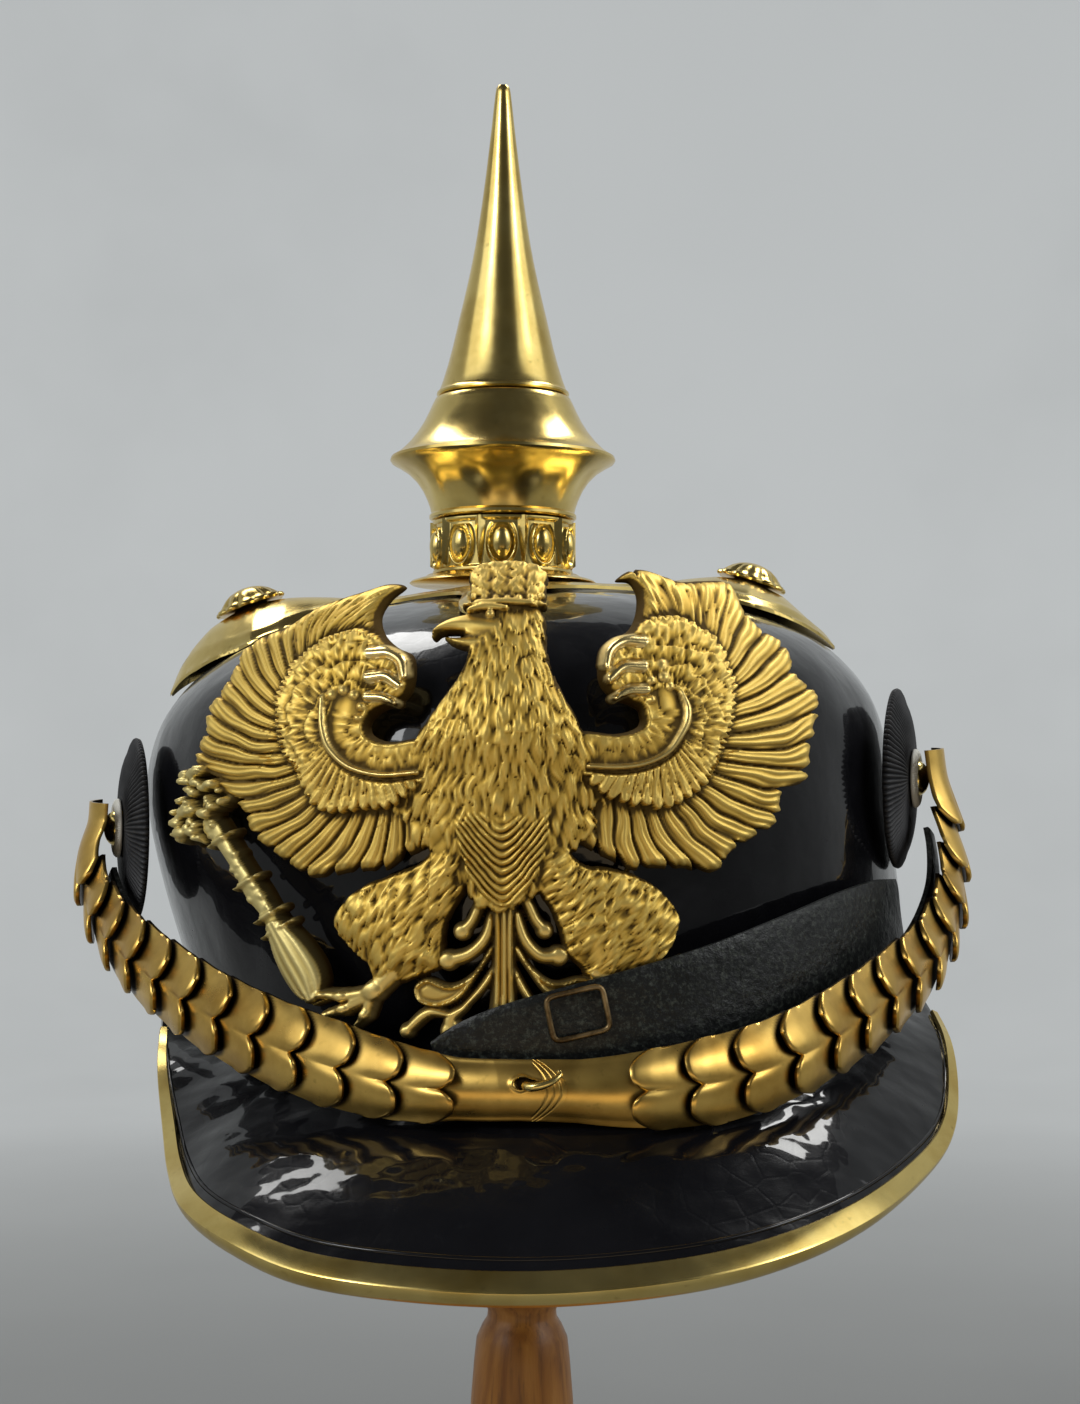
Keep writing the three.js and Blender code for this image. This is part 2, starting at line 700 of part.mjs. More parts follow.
const bandCurve = new THREE.CatmullRomCurve3(
  BAND_LINE.map(([turn, z, off]) => {
    const share = clamp(-z / WALL_DROP, 0, 1);
    const shift = RIM_SHIFT * share * share * (3 - 2 * share);
    const a = rad(turn);
    const x = SHELL_MIDDLE_X + shift + (BAND_HALF_WIDTH + off) * sin(a);
    return V3(x, -(BAND_FRONT + off) * cos(a), SIGHT + z);
  }),
  false,
  "centripetal",
);
bandCurve.arcLengthDivisions = 400;
const BAND_LENGTH = bandCurve.getLength();

// The frame of the band at a length from its left end: along, out from the helmet, and across.
function bandFrame(length) {
  const t = clamp(length / BAND_LENGTH, 0, 1);
  const o = bandCurve.getPointAt(t);
  const along = bandCurve.getTangentAt(t);
  const out = V3(o.x / BAND_HALF_WIDTH ** 2, o.y / BAND_FRONT ** 2, 0).normalize();
  out.addScaledVector(V3(0, 0, 1), 0.1);
  out.addScaledVector(along, -out.dot(along)).normalize();
  const across = V3(0, 0, 0).crossVectors(out, along).normalize();
  o.addScaledVector(along, length - t * BAND_LENGTH);
  return { o, along, out, across };
}

function bandPoint(length, out, across) {
  const f = bandFrame(length);
  return f.o.addScaledVector(f.out, out).addScaledVector(f.across, across);
}

// The band's width at a length from the middle of the front.
const BAND_WIDTHS = [[0, 12.6], [12, 13], [24, 15.5], [40, 17.6], [100, 17.4], [135, 16.4], [170, 14]];
const MIDDLE = bandLengthAtFront();

function bandLengthAtFront() {
  let best = 0;
  for (let i = 0; i <= 800; i++) {
    const t = i / 800;
    if (abs(bandCurve.getPointAt(t).x) < abs(bandCurve.getPointAt(best).x)) best = t;
  }
  return best * BAND_LENGTH;
}

const bandWidth = (length) => fromTable(BAND_WIDTHS, abs(length - MIDDLE));
const arch = (side) => SCALE_ARCH * (1 - side * side);

// A scale: its root is tucked under its neighbour, and its lobed end points to the front.
const SCALE_SIDES = [-1, -0.85, -0.5, -0.12, 0.12, 0.5, 0.85, 1];
const LOBES = [[0, 0.84], [0.2, 0.95], [0.5, 1], [0.85, 0.93], [1, 0.72]];
const SCALE_FOOT = 1.2; // how far its edges stand off the band's middle line at the root
const SCALE_RISE = (SCALE_WALL + GAP) * (SCALE_LENGTH / SCALE_PITCH) * 1.1; // from its root to its tip

// tip: where its end lies along the band; way: 1 when it points away from the band's start.
function scaleGeometry(tip, way, length) {
  const rows = [0, 0.34, 0.67, 1].map((share) =>
    SCALE_SIDES.map((side) => {
      const lobe = fromTable(LOBES, abs(side));
      const reach = share * (share === 1 ? lobe : min(1, lobe + 0.1)) * SCALE_LENGTH;
      const behind = (1 - share) * (length - SCALE_LENGTH);
      const at = tip + way * (reach - SCALE_LENGTH - behind);
      const out = SCALE_FOOT + (SCALE_RISE * reach) / SCALE_LENGTH + arch(side);
      return { at, out, across: (side * bandWidth(at)) / 2 };
    }),
  );
  const grid = (extra) => rows.map((row) => row.map((p) => bandPoint(p.at, p.out + extra, p.across)));
  return plate(grid(SCALE_WALL), grid(0));
}

// The end scale of each side runs on to the band's end, over the boss.
const SIDES = [
  // way from the side's end towards the front, where its first scale ends, scales
  { name: "left", way: 1, first: MIDDLE - 12, end: 0, count: 12 },
  { name: "right", way: -1, first: MIDDLE + 22, end: BAND_LENGTH, count: 13 },
];
for (const { name, way, first, end, count } of SIDES) {
  for (let i = 0; i < count; i++) {
    const tip = first - way * i * SCALE_PITCH;
    const length = i === count - 1 ? abs(tip - end) : SCALE_LENGTH;
    piece(`scale_${name}_${String(i + 1).padStart(2, "0")}`, scaleGeometry(tip, way, length), brass());
  }
}

// The clasp at the front: two arched plates, one over the other.
function claspPlate(from, to, [outFrom, outTo], roundEnd) {
  const steps = [0, 0.2, 0.4, 0.6, 0.8, 0.93, 1];
  const sides = [-1, -0.6, -0.2, 0.2, 0.6, 1];
  const grid = (extra) =>
    steps.map((share) =>
      sides.map((side) => {
        const pull = roundEnd ? abs(to - from) * 0.16 * side * side * share * share : 0;
        const length = MIDDLE + lerp(from, to, share) - Math.sign(to - from) * pull;
        const out = lerp(outFrom, outTo, min(1, share * 1.6));
        return bandPoint(length, out + extra + arch(side), side * (bandWidth(length) / 2 - 0.2));
      }),
    );
  return plate(grid(SCALE_WALL), grid(0));
}

piece("centre_plate_left", claspPlate(-26, 10, [0.1, 1.25], true), brass());
piece("centre_plate_right", claspPlate(35, -4, [0.3, 0], false), brass());

const HOOK_AT = MIDDLE + 3.5;
const HOOK_RADIUS = 1;
function hookGeometry() {
  const bends = [V3(-3, 0, 0.4), V3(0, 0, 1.2), V3(2.6, 0, 1.6), V3(4.6, 0.4, 0.9)];
  const extrudePath = new THREE.CatmullRomCurve3(bends);
  const section = circle(HOOK_RADIUS, 0, 8).map((p) => V2(p.x, p.y));
  return new THREE.ExtrudeGeometry(new THREE.Shape(section), { steps: 8, bevelEnabled: false, extrudePath });
}
const hookFrame = bandFrame(HOOK_AT);
const hookAxes = new THREE.Matrix4().makeBasis(hookFrame.along, hookFrame.across, hookFrame.out);
const hook = piece("hook", hookGeometry(), brass());
hook.position.copy(bandPoint(HOOK_AT, 1.25 + SCALE_ARCH + SCALE_WALL + GAP + 0.7, 0));
hook.quaternion.setFromRotationMatrix(hookAxes);

// The black leather that carries the scales.
function stripGeometry(from, to, step, point, wall) {
  const count = Math.ceil((to - from) / step);
  const middle = Array.from({ length: count + 1 }, (_, i) => {
    const length = lerp(from, to, i / count);
    return [-1, 0, 1].map((side) => point(length, side));
  });
  return sheet(middle, wall);
}

piece(
  "chin_backing",
  stripGeometry(
    BACKING_START,
    BAND_LENGTH - BACKING_START,
    9,
    (length, side) => bandPoint(length, -0.9, (side * BACKING_WIDTH) / 2),
    BACKING_WALL,
  ),
  blackLeather(),
);

// ---------------------------------------------------------------- loose strap
// The loose strap's middle line and half width: turn from the front, height, half width.
const STRAP_LINE = [
  { turn: -13, z: -57.5, half: 1.5, out: 0.5 },
  { turn: -10, z: -56.8, half: 4, out: 0.5 },
  { turn: -5, z: -55.6, half: 6.5, out: 0.6 },
  { turn: 3, z: -53.5, half: 8.4, out: 0.8 },
  { turn: 12, z: -50.5, half: 9.2, out: 1 },
  { turn: 23, z: -46, half: 9.4, out: 1 },
  { turn: 34, z: -41, half: 9.4, out: 0.6 },
  { turn: 45, z: -36.5, half: 9.2, out: 0.2 },
  { turn: 55, z: -34, half: 8.8, out: 0 },
  { turn: 63, z: -33.5, half: 8, out: -0.4 },
];
const STRAP_HALF_WIDTH = 98.6;
const STRAP_FRONT = 107.4;
const STRAP_WALL = 1.5;

function strapPoint(share, side) {
  const at = share * (STRAP_LINE.length - 1);
  const i = min(Math.floor(at), STRAP_LINE.length - 2);
  const mix = (key) => lerp(STRAP_LINE[i][key], STRAP_LINE[i + 1][key], at - i);
  const turn = rad(mix("turn"));
  const z = mix("z") + side * mix("half");
  const shift = RIM_SHIFT * clamp(-z / WALL_DROP, 0, 1) ** 2;
  const x = SHELL_MIDDLE_X + shift + (STRAP_HALF_WIDTH + mix("out")) * sin(turn);
  return V3(x, -(STRAP_FRONT + mix("out")) * cos(turn), SIGHT + z);
}

piece("loose_strap", stripGeometry(0, 1, 1 / 27, strapPoint, STRAP_WALL), blackLeather());

// A small bar buckle that lies over the strap.
function buckleGeometry() {
  const shape = new THREE.Shape([V2(-6.6, -5.2), V2(6.6, -5.2), V2(6.6, 5.2), V2(-6.6, 5.2)]);
  shape.holes.push(new THREE.Path([V2(-5.4, -4), V2(-5.4, 4), V2(5.4, 4), V2(5.4, -4)]));
  return new THREE.ExtrudeGeometry(shape, { depth: 1.1, bevelEnabled: false, steps: 1 });
}
const buckle = piece("strap_buckle", buckleGeometry(), brass());
const buckleSpot = strapPoint(0.36, 0.35);
const buckleOut = V3(buckleSpot.x / STRAP_HALF_WIDTH ** 2, buckleSpot.y / STRAP_FRONT ** 2, 0).normalize();
const buckleAlong = strapPoint(0.42, 0.35).sub(strapPoint(0.3, 0.35)).normalize();
buckleAlong.addScaledVector(buckleOut, -buckleAlong.dot(buckleOut)).normalize();
const buckleAcross = V3(0, 0, 0).crossVectors(buckleOut, buckleAlong);
const buckleAxes = new THREE.Matrix4().makeBasis(buckleAlong, buckleAcross, buckleOut);
buckle.quaternion.setFromRotationMatrix(buckleAxes);
buckle.position.copy(buckleSpot).addScaledVector(buckleOut, STRAP_WALL / 2 + GAP + 0.3);

// ---------------------------------------------------------------- cockades
const COCKADE_DOME = [
  // radius, height over its back
  [0, 0],
  [COCKADE_RADIUS, 0],
  [COCKADE_RADIUS, 1.2],
  [16.4, 3.6],
  [11, 4.6],
  [0, 4.6],
];
const BOSS = [
  // radius, height over the cockade's back
  [0, 4.95],
  [4.2, 4.95],
  [4.2, 6.6],
  [3.4, 7.8],
  [1.8, 8.5],
  [0, 8.7],
];
const RING_SECTION = [[4.7, 4.95], [6.9, 4.95], [7.2, 5.5], [6.2, 6.4], [4.7, 6.4]];
const COCKADES = [
  { name: "left", way: -1, height: -14 },
  { name: "right", way: 1, height: -2 },
];
const COCKADE_SEAT = rad(71.3); // how far round the skull it sits
const COCKADE_STAND_OFF = 2.6;

for (const { name, way, height } of COCKADES) {
  const turn = way * COCKADE_SEAT;
  const face = V3(way * cos(COCKADE_TURN), -sin(COCKADE_TURN), 0);
  const wall = V3(SHELL_MIDDLE_X + SHELL_HALF_WIDTH * sin(turn), -SHELL_FRONT * cos(turn), SIGHT + height);
  const stack = new THREE.Group();
  stack.position.copy(wall).addScaledVector(face, COCKADE_STAND_OFF);
  stack.quaternion.setFromUnitVectors(V3(0, 0, 1), face);
  group.add(stack);
  piece(`cockade_${name}`, turned(COCKADE_DOME, 32), finish(0x101014, 0.8, 0), stack);
  const ring = ringLoop(RING_SECTION.map(([radius, z]) => circle(radius, z, 28)));
  piece(`cockade_ring_${name}`, ring, finish(0xe8e2d0, 0.5, 0), stack);
  piece(`boss_${name}`, turned(BOSS, 20), brass(), stack);
}

// ---------------------------------------------------------------- stand
const BASE_RADIUS = 80;
const BASE_HEIGHT = 18;
const HEAD_TOP = SIGHT + 40.6;
const STAND_BASE = [
  [0, 0],
  [78, 0],
  [BASE_RADIUS, 2],
  [BASE_RADIUS, 8],
  [77, 12],
  [72, 13.5],
  [60, 16],
  [30, BASE_HEIGHT],
  [0, BASE_HEIGHT],
];
const STAND_POST = [
  [0, BASE_HEIGHT + GAP],
  [20, BASE_HEIGHT + GAP],
  [19, 21],
  [12.5, 27],
  [10.5, 32],
  [13.5, 36],
  [13.5, 39],
  [10.5, 43],
  [11.6, 60],
  [14, 90],
  [13.7, 115],
  [12.7, 135],
  [11.6, 146],
  [8.8, 151],
  [8.8, 153],
  [11.2, 158],
  [12.4, 164],
  [11.6, 171],
  [9, 176],
  [10.4, 190],
  [10.2, 240],
  [9.4, 280],
  [11, 291],
  [15, 299.6],
  [0, 299.6],
];
const STAND_HEAD = [
  [0, 300],
  [24, 300],
  [42, 306],
  [47, 312],
  [46, 319],
  [38, 325.5],
  [24, 329.2],
  [12, 330.4],
  [0, HEAD_TOP],
];
piece("stand_base", turned(STAND_BASE, 48), wood());
piece("stand_post", turned(STAND_POST, 24), wood());
piece("stand_head", turned(STAND_HEAD, 32), wood());

export default group;
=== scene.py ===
"""A spiked parade helmet of lacquered leather and brass on its turned wooden stand.

Lengths in this script are millimetres until a mesh is made, and those of the lights and the camera
are metres. Heights of the helmet's pieces are measured from the sight line, the level of its
cockades. The brow faces -Y.
"""
from math import cos, hypot, pi, radians, sin

import bmesh
import bpy
import numpy as np
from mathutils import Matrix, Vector


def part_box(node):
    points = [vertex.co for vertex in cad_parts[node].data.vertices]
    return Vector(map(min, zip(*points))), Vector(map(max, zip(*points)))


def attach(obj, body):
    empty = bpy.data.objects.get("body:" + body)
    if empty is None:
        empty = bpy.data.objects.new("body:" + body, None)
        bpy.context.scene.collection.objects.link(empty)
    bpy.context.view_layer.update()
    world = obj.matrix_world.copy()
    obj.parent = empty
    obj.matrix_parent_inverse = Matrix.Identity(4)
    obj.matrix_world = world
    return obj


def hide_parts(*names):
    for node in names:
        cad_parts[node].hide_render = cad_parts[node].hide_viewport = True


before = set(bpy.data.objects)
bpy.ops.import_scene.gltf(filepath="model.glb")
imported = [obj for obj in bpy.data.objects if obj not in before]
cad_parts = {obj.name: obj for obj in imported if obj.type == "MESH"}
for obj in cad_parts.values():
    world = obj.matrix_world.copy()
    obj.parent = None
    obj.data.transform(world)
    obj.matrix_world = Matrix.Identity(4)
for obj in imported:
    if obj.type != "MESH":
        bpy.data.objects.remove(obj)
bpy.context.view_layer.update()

MM = 0.001

# ------------------------------------------------------------------ dimensions, from the frame
def box_mm(node):
    low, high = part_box(node)
    return np.array(low) / MM, np.array(high) / MM


TIP = 178.4  # the spike's tip, over the sight line
CONE_LOW, CONE_HIGH = box_mm("spike_cone")
SPIKE_X = (CONE_LOW[0] + CONE_HIGH[0]) / 2
SIGHT = CONE_HIGH[2] - TIP
SHELL_LOW, SHELL_HIGH = box_mm("shell")
SHELL_FRONT, SHELL_REAR = -SHELL_LOW[1], SHELL_HIGH[1]
SHELL_X = -1.0  # the skull's middle
SHELL_HALF_WIDTH = 93.5
SHELL_WALL = 2.2
SHELL_ROLL = radians(3)
BROW = -3.0  # the level where its wall ends and its dome starts
DOME_RISE = 47.0
DOME_POWER = 2.5  # 2 is an ellipse, and more is squarer
WALL_DROP = 59.0
FRONT_DROP = 6.0  # how much lower the rim is at the front
RIM_TAPER = 0.045
RIM_SHIFT = 6.0
GAP = 0.35  # air between pieces that don't touch

# ------------------------------------------------------------------ small maths
def smoothstep(x, low=0.0, high=1.0):
    t = np.clip((np.asarray(x, float) - low) / (high - low), 0, 1)
    return t * t * (3 - 2 * t)


def lerp(a, b, t):
    return a + (b - a) * t


def bell(x, at, width):
    """1 where x is at its place, and near 0 two widths away."""
    return np.exp(-(((x - at) / width) ** 2))


def rounded(c, power=2):
    """A rounded section: 1 in the middle of -1 to 1 and 0 at both ends."""
    return np.sqrt(np.clip(1 - np.abs(c) ** power, 0, 1))


def swelling(near, reach):
    """How far a plate has risen, from 0 at its edge towards 1 well inside."""
    return 1 - np.exp(-np.maximum(near, 0) / reach)


def xyz(x, y, z):
    return np.stack([x, y, z], -1)


def unit(v):
    v = np.asarray(v, float)
    return v / np.maximum(np.linalg.norm(v, axis=-1, keepdims=True), 1e-12)


def across_to(v, axis):
    """The part of a direction that is square to an axis, at length 1."""
    return unit(v - np.sum(v * axis, -1, keepdims=True) * axis)


def circle(count):
    return np.linspace(0, 2 * pi, count, endpoint=False)


def ellipse_points(width, height, count):
    return [(width * cos(a), height * sin(a)) for a in circle(count)]


def share_and_side(rows, columns, ease=1.0):
    """A grid of how far along, 0 to 1, and how far across, -1 to 1, each point is."""
    return np.meshgrid(np.linspace(0, 1, rows) ** ease, np.linspace(-1, 1, columns), indexing="ij")


def table_value(table, key):
    rows = np.array(table, float)
    return np.interp(key, rows[:, 0], rows[:, 1])


def catmull(points, steps=24, closed=False):
    """A centripetal Catmull-Rom curve through the points, as a dense polyline."""
    p = np.asarray(points, float)
    if closed:
        p = np.vstack([p[-1], p, p[0], p[1]])
    else:
        p = np.vstack([2 * p[0] - p[1], p, 2 * p[-1] - p[-2]])
    out = []
    for i in range(len(p) - 3):
        p0, p1, p2, p3 = p[i : i + 4]
        chords = [max(np.linalg.norm(b - a), 1e-6) ** 0.5 for a, b in ((p0, p1), (p1, p2), (p2, p3))]
        t0, t1, t2, t3 = np.cumsum([0] + chords)
        t = np.linspace(t1, t2, steps, endpoint=False)[:, None]

        def between(low, high, a, b):
            return (high - t) / (high - low) * a + (t - low) / (high - low) * b

        a1, a2, a3 = between(t0, t1, p0, p1), between(t1, t2, p1, p2), between(t2, t3, p2, p3)
        out.append(between(t1, t2, between(t0, t2, a1, a2), between(t1, t3, a2, a3)))
    if not closed:
        out.append(p[-2][None])
    return np.vstack(out)


class Route:
    """A polyline read by arc length."""

    def __init__(self, points):
        self.points = np.asarray(points, float)
        steps = np.linalg.norm(np.diff(self.points, axis=0), axis=1)
        self.at = np.concatenate([[0], np.cumsum(steps)])
        self.length = self.at[-1]

    def point(self, s):
        return np.stack([np.interp(s, self.at, column) for column in self.points.T], -1)

    def tangent(self, s, reach=0.6):
        return unit(self.point(np.minimum(s + reach, self.length)) - self.point(np.maximum(s - reach, 0)))


def value_noise(x, y, scale, seed):
    """Smooth noise from -1 to 1 over a plane, one feature every scale units."""
    size = 64
    table = np.random.default_rng(seed).uniform(-1, 1, (size, size))
    u, v = np.asarray(x) / scale, np.asarray(y) / scale
    i, j = np.floor(u).astype(int), np.floor(v).astype(int)
    fu, fv = smoothstep(u - i), smoothstep(v - j)

    def along(row):
        return lerp(table[i % size, row % size], table[(i + 1) % size, row % size], fu)

    return lerp(along(j), along(j + 1), fv)


# ------------------------------------------------------------------ meshes
def linked(name, data):
    made = bpy.data.objects.new(name, data)
    bpy.context.scene.collection.objects.link(made)
    return made


def add_mesh(name, points, faces, materials, nodes, sharp, face_slots=None, attributes=None):
    """One visible piece. Edges that turn by more than sharp degrees stay crisp."""
    mesh = bpy.data.meshes.new(name)
    points = np.asarray(points, float).reshape(-1, 3) * MM
    mesh.from_pydata(points.tolist(), [], [tuple(int(i) for i in f) for f in faces])
    for material in materials:
        mesh.materials.append(material)
    if face_slots is not None:
        mesh.polygons.foreach_set("material_index", np.asarray(face_slots, np.int32))
    for key, values in (attributes or {}).items():
        layer = mesh.attributes.new(key, "FLOAT", "POINT")
        layer.data.foreach_set("value", np.asarray(values, np.float32).ravel())
    made = bmesh.new()
    made.from_mesh(mesh)
    bmesh.ops.recalc_face_normals(made, faces=made.faces)
    made.to_mesh(mesh)
    made.free()
    mesh.shade_smooth()
    mesh.set_sharp_from_angle(angle=radians(sharp))
    mesh.update()
    piece = linked(name, mesh)
    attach(piece, "root")
    if nodes:
        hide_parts(*nodes)


def grid_faces(rows, columns, close_rows=False, close_columns=False, start=0):
    i = np.arange(rows if close_rows else rows - 1)
    j = np.arange(columns if close_columns else columns - 1)
    i, j = np.meshgrid(i, j, indexing="ij")
    i1, j1 = (i + 1) % rows, (j + 1) % columns
    quads = np.stack([i * columns + j, i * columns + j1, i1 * columns + j1, i1 * columns + j], -1)
    return (quads.reshape(-1, 4) + start).tolist()


def ring_skin(rings):
    """Points and faces of the skin over closed rings of equal count, with single points as poles."""
    faces, old = [], 0
    for ring, following in zip(rings, rings[1:]):
        new = old + len(ring)
        count = max(len(ring), len(following))
        for j in range(count):
            m = (j + 1) % count
            if len(ring) == 1:
                faces.append((old, new + m, new + j))
            elif len(following) == 1:
                faces.append((old + j, old + m, new))
            else:
                faces.append((old + j, old + m, new + m, new + j))
        old = new
    return np.concatenate(rings), faces


def plate_skin(top, bottom):
    """The closed skin between two grids of points of one size."""
    rows, columns = top.shape[:2]
    under = rows * columns
    faces = grid_faces(rows, columns) + grid_faces(rows, columns, start=under)
    number = np.arange(under).reshape(rows, columns)
    loop = [*number[0, :-1], *number[:-1, -1], *number[-1, :0:-1], *number[:0:-1, 0]]
    for a, b in zip(loop, loop[1:] + loop[:1]):
        faces.append((a, b, under + b, under + a))
    return np.concatenate([top.reshape(-1, 3), bottom.reshape(-1, 3)]), faces


def grid_normals(grid):
    """The normals of a sheet's grid of points, upwards in its middle."""
    normals = unit(np.cross(np.gradient(grid, axis=0), np.gradient(grid, axis=1)))
    rows, columns = grid.shape[:2]
    return -normals if normals[rows // 2, columns // 2, 2] < 0 else normals


def turned_rings(profile, sides, centre=(0, 0), ripple=None):
    """A lathe-turned profile of radius and height as rings; ripple adds to the radius by angle and height."""
    angles = circle(sides)
    rings = []
    for r, z in profile:
        if r < 1e-6:
            rings.append(np.array([[*centre, z]]))
            continue
        radius = r + (ripple(angles, z) if ripple else 0)
        x, y = centre[0] + radius * np.cos(angles), centre[1] + radius * np.sin(angles)
        rings.append(xyz(x, y, np.full(sides, z)))
    return rings


def sweep_profile(profile, origins, us, vs):
    """A closed profile carried along frames, its ends filled."""
    profile = np.asarray(profile, float)
    points = origins[:, None] + profile[None, :, :1] * us[:, None] + profile[None, :, 1:2] * vs[:, None]
    rows, n = points.shape[:2]
    faces = grid_faces(rows, n, close_columns=True)
    faces += [tuple(range(n)), tuple(range((rows - 1) * n, rows * n))]
    return points.reshape(-1, 3), faces


def place(points, origin, x_axis, y_axis, z_axis):
    p = np.asarray(points, float)
    return np.asarray(origin) + p[..., :1] * x_axis + p[..., 1:2] * y_axis + p[..., 2:3] * z_axis


# ------------------------------------------------------------------ materials
def opaque(colour):
    return colour if hasattr(colour, "is_output") else (*colour, 1)


class Shader:
    """A principled material and short ways to make the nodes that feed it."""

    def __init__(self, name, **values):
        self.material = bpy.data.materials.new(name)
        self.material.use_nodes = True
        self.tree = self.material.node_tree
        self.sockets = self.tree.nodes["Principled BSDF"].inputs
        for key, value in values.items():
            self.sockets[key.replace("_", " ")].default_value = value
        self.where = self.node("TexCoord")["Object"]

    def feed(self, socket, value):
        if hasattr(value, "is_output"):
            self.tree.links.new(value, socket)
        else:
            socket.default_value = value

    def node(self, kind, inputs=None, **settings):
        """The outputs of a new node, with its inputs fed by name or by number."""
        made = self.tree.nodes.new("ShaderNode" + kind)
        for key, value in settings.items():
            setattr(made, key, value)
        for key, value in (inputs or {}).items():
            self.feed(made.inputs[key], value)
        return made.outputs

    def finish(self, colour, roughness, normal=None):
        self.feed(self.sockets["Base Color"], colour)
        self.feed(self.sockets["Roughness"], roughness)
        if normal is not None:
            self.feed(self.sockets["Normal"], normal)
        return self.material

    def noise(self, scale, detail, roughness=0.5, stretch=None, distortion=0.0):
        where = self.where
        if stretch:
            where = self.node("Mapping", {"Vector": where, "Scale": stretch})["Vector"]
        inputs = {
            "Vector": where, "Scale": scale, "Detail": detail, "Roughness": roughness,
            "Distortion": distortion,
        }
        return self.node("TexNoise", inputs)["Fac"]

    def cells(self, scale, feature="F1"):
        return self.node("TexVoronoi", {"Vector": self.where, "Scale": scale}, feature=feature)["Distance"]

    def attribute(self, name):
        return self.node("Attribute", attribute_name=name)["Fac"]

    def maths(self, operation, a, b=0.0, clamp=False):
        return self.node("Math", {0: a, 1: b}, operation=operation, use_clamp=clamp)[0]

    def times(self, a, b):
        return self.maths("MULTIPLY", a, b)

    def ramp(self, factor, stops):
        made = self.node("ValToRGB", {"Fac": factor})["Color"]
        elements = made.node.color_ramp.elements
        while len(elements) < len(stops):
            elements.new(0.5)
        for element, (at, colour) in zip(elements, stops):
            element.position = at
            element.color = opaque(colour)
        return made

    def step(self, factor, low, high):
        """Black up to one value and white from another on."""
        return self.ramp(factor, [(low, (0, 0, 0)), (high, (1, 1, 1))])

    def scaled(self, factor, low, high):
        return self.node("MapRange", {"Value": factor, "To Min": low, "To Max": high})["Result"]

    def mixed(self, factor, a, b):
        return self.node("Mix", {"Factor": factor, 6: opaque(a), 7: opaque(b)}, data_type="RGBA")[2]

    def bump(self, height, strength, distance, under=None):
        """A bump of so many millimetres, over the normal of another."""
        inputs = {"Height": height, "Strength": strength, "Distance": distance * MM}
        if under is not None:
            inputs["Normal"] = under
        return self.node("Bump", inputs)["Normal"]


def polished_brass(name, bright, deep, roughness, dented):
    """Brass with clouds of tarnish and dark spots, darkened towards near black where a mesh attribute says
    so, along scale edges, under scales, in engraved lines and in the clasp's slot: painted shade, with some
    dirt.
    """
    s = Shader(name, Metallic=1.0)
    tarnish = s.ramp(s.noise(55, 5, 0.6), [(0.32, deep), (0.60, bright)])
    spots = s.times(s.step(s.noise(420, 2), 0.66, 0.8), 0.4)
    unshaded_brass = s.mixed(spots, tarnish, [c * 0.5 for c in deep])
    scratches = s.noise(900, 2, 0.5, stretch=(1, 1, 0.08))
    # painted shade, with some dirt: the mesh attribute mixes in near-black brown
    return s.finish(
        s.mixed(s.attribute("shade_and_grime"), unshaded_brass, (0.035, 0.020, 0.007)),
        s.scaled(s.noise(130, 4, 0.6), *roughness),
        s.bump(scratches, 0.10, 0.04, s.bump(s.noise(60, 2), dented, 0.5)),
    )


def gilt_brass():
    """Matte gilding with painted shade and patina in the mesh's cavities, brighter where it is polished,
    paler where it is dull.
    """
    s = Shader("matte_gilt", Metallic=1.0)
    worn = s.times(s.maths("SUBTRACT", s.noise(70, 4, 0.6), 0.5), 0.3)
    # painted shade and patina: the mesh attribute darkens the gilding in the relief's hollows
    depth = s.maths("ADD", s.attribute("cavity_shade_and_patina"), worn)
    fresh = [
        (0.05, (0.87, 0.62, 0.155)), (0.34, (0.70, 0.46, 0.085)), (0.58, (0.38, 0.24, 0.04)),
        (0.85, (0.11, 0.065, 0.016)),
    ]
    dulled = [(0.05, (0.76, 0.66, 0.30)), (0.38, (0.50, 0.41, 0.14)), (0.7, (0.04, 0.034, 0.015))]
    polish = s.attribute("polish")
    colour = s.mixed(s.attribute("dull"), s.ramp(depth, fresh), s.ramp(depth, dulled))
    return s.finish(
        s.mixed(polish, colour, (0.95, 0.74, 0.31)),
        s.maths("SUBTRACT", s.scaled(depth, 0.50, 0.78), s.times(polish, 0.24)),
        s.bump(s.noise(1500, 3), 0.3, 0.07),
    )


def lacquered_leather():
    """Black leather under a clear coat, with scuffs, and with creases where the mesh says so."""
    s = Shader("black_lacquered_leather", Coat_Weight=0.65, Coat_Roughness=0.04, Specular_IOR_Level=0.08)
    base = s.ramp(s.noise(28, 4, 0.6), [(0.3, (0.003, 0.003, 0.004)), (0.75, (0.009, 0.009, 0.011))])
    scuffs = s.times(s.step(s.noise(240, 4, 0.7), 0.62, 0.76), 0.2)
    creases = s.times(s.noise(46, 2, 0.4, stretch=(1, 1.4, 1)), s.attribute("creased"))
    coat = s.bump(creases, 1.0, 1.5, s.bump(s.noise(38, 3, 0.5), 0.9, 0.8))
    coat = s.bump(s.noise(150, 2, 0.5), 0.5, 0.10, coat)
    s.feed(s.sockets["Coat Normal"], coat)
    pores = s.step(s.cells(190, "DISTANCE_TO_EDGE"), 0.0, 0.09)
    return s.finish(
        s.mixed(scuffs, base, (0.035, 0.036, 0.04)),
        s.scaled(s.noise(150, 5, 0.65), 0.14, 0.34),
        s.bump(pores, 0.35, 0.05, s.bump(s.noise(420, 4, 0.6), 0.35, 0.10, coat)),
    )


def natural_leather():
    s = Shader("natural_leather")
    return s.finish(
        s.ramp(s.noise(60, 5, 0.6), [(0.3, (0.17, 0.09, 0.045)), (0.75, (0.33, 0.19, 0.10))]),
        s.scaled(s.noise(200, 3), 0.55, 0.8),
        s.bump(s.cells(700), 0.4, 0.12),
    )


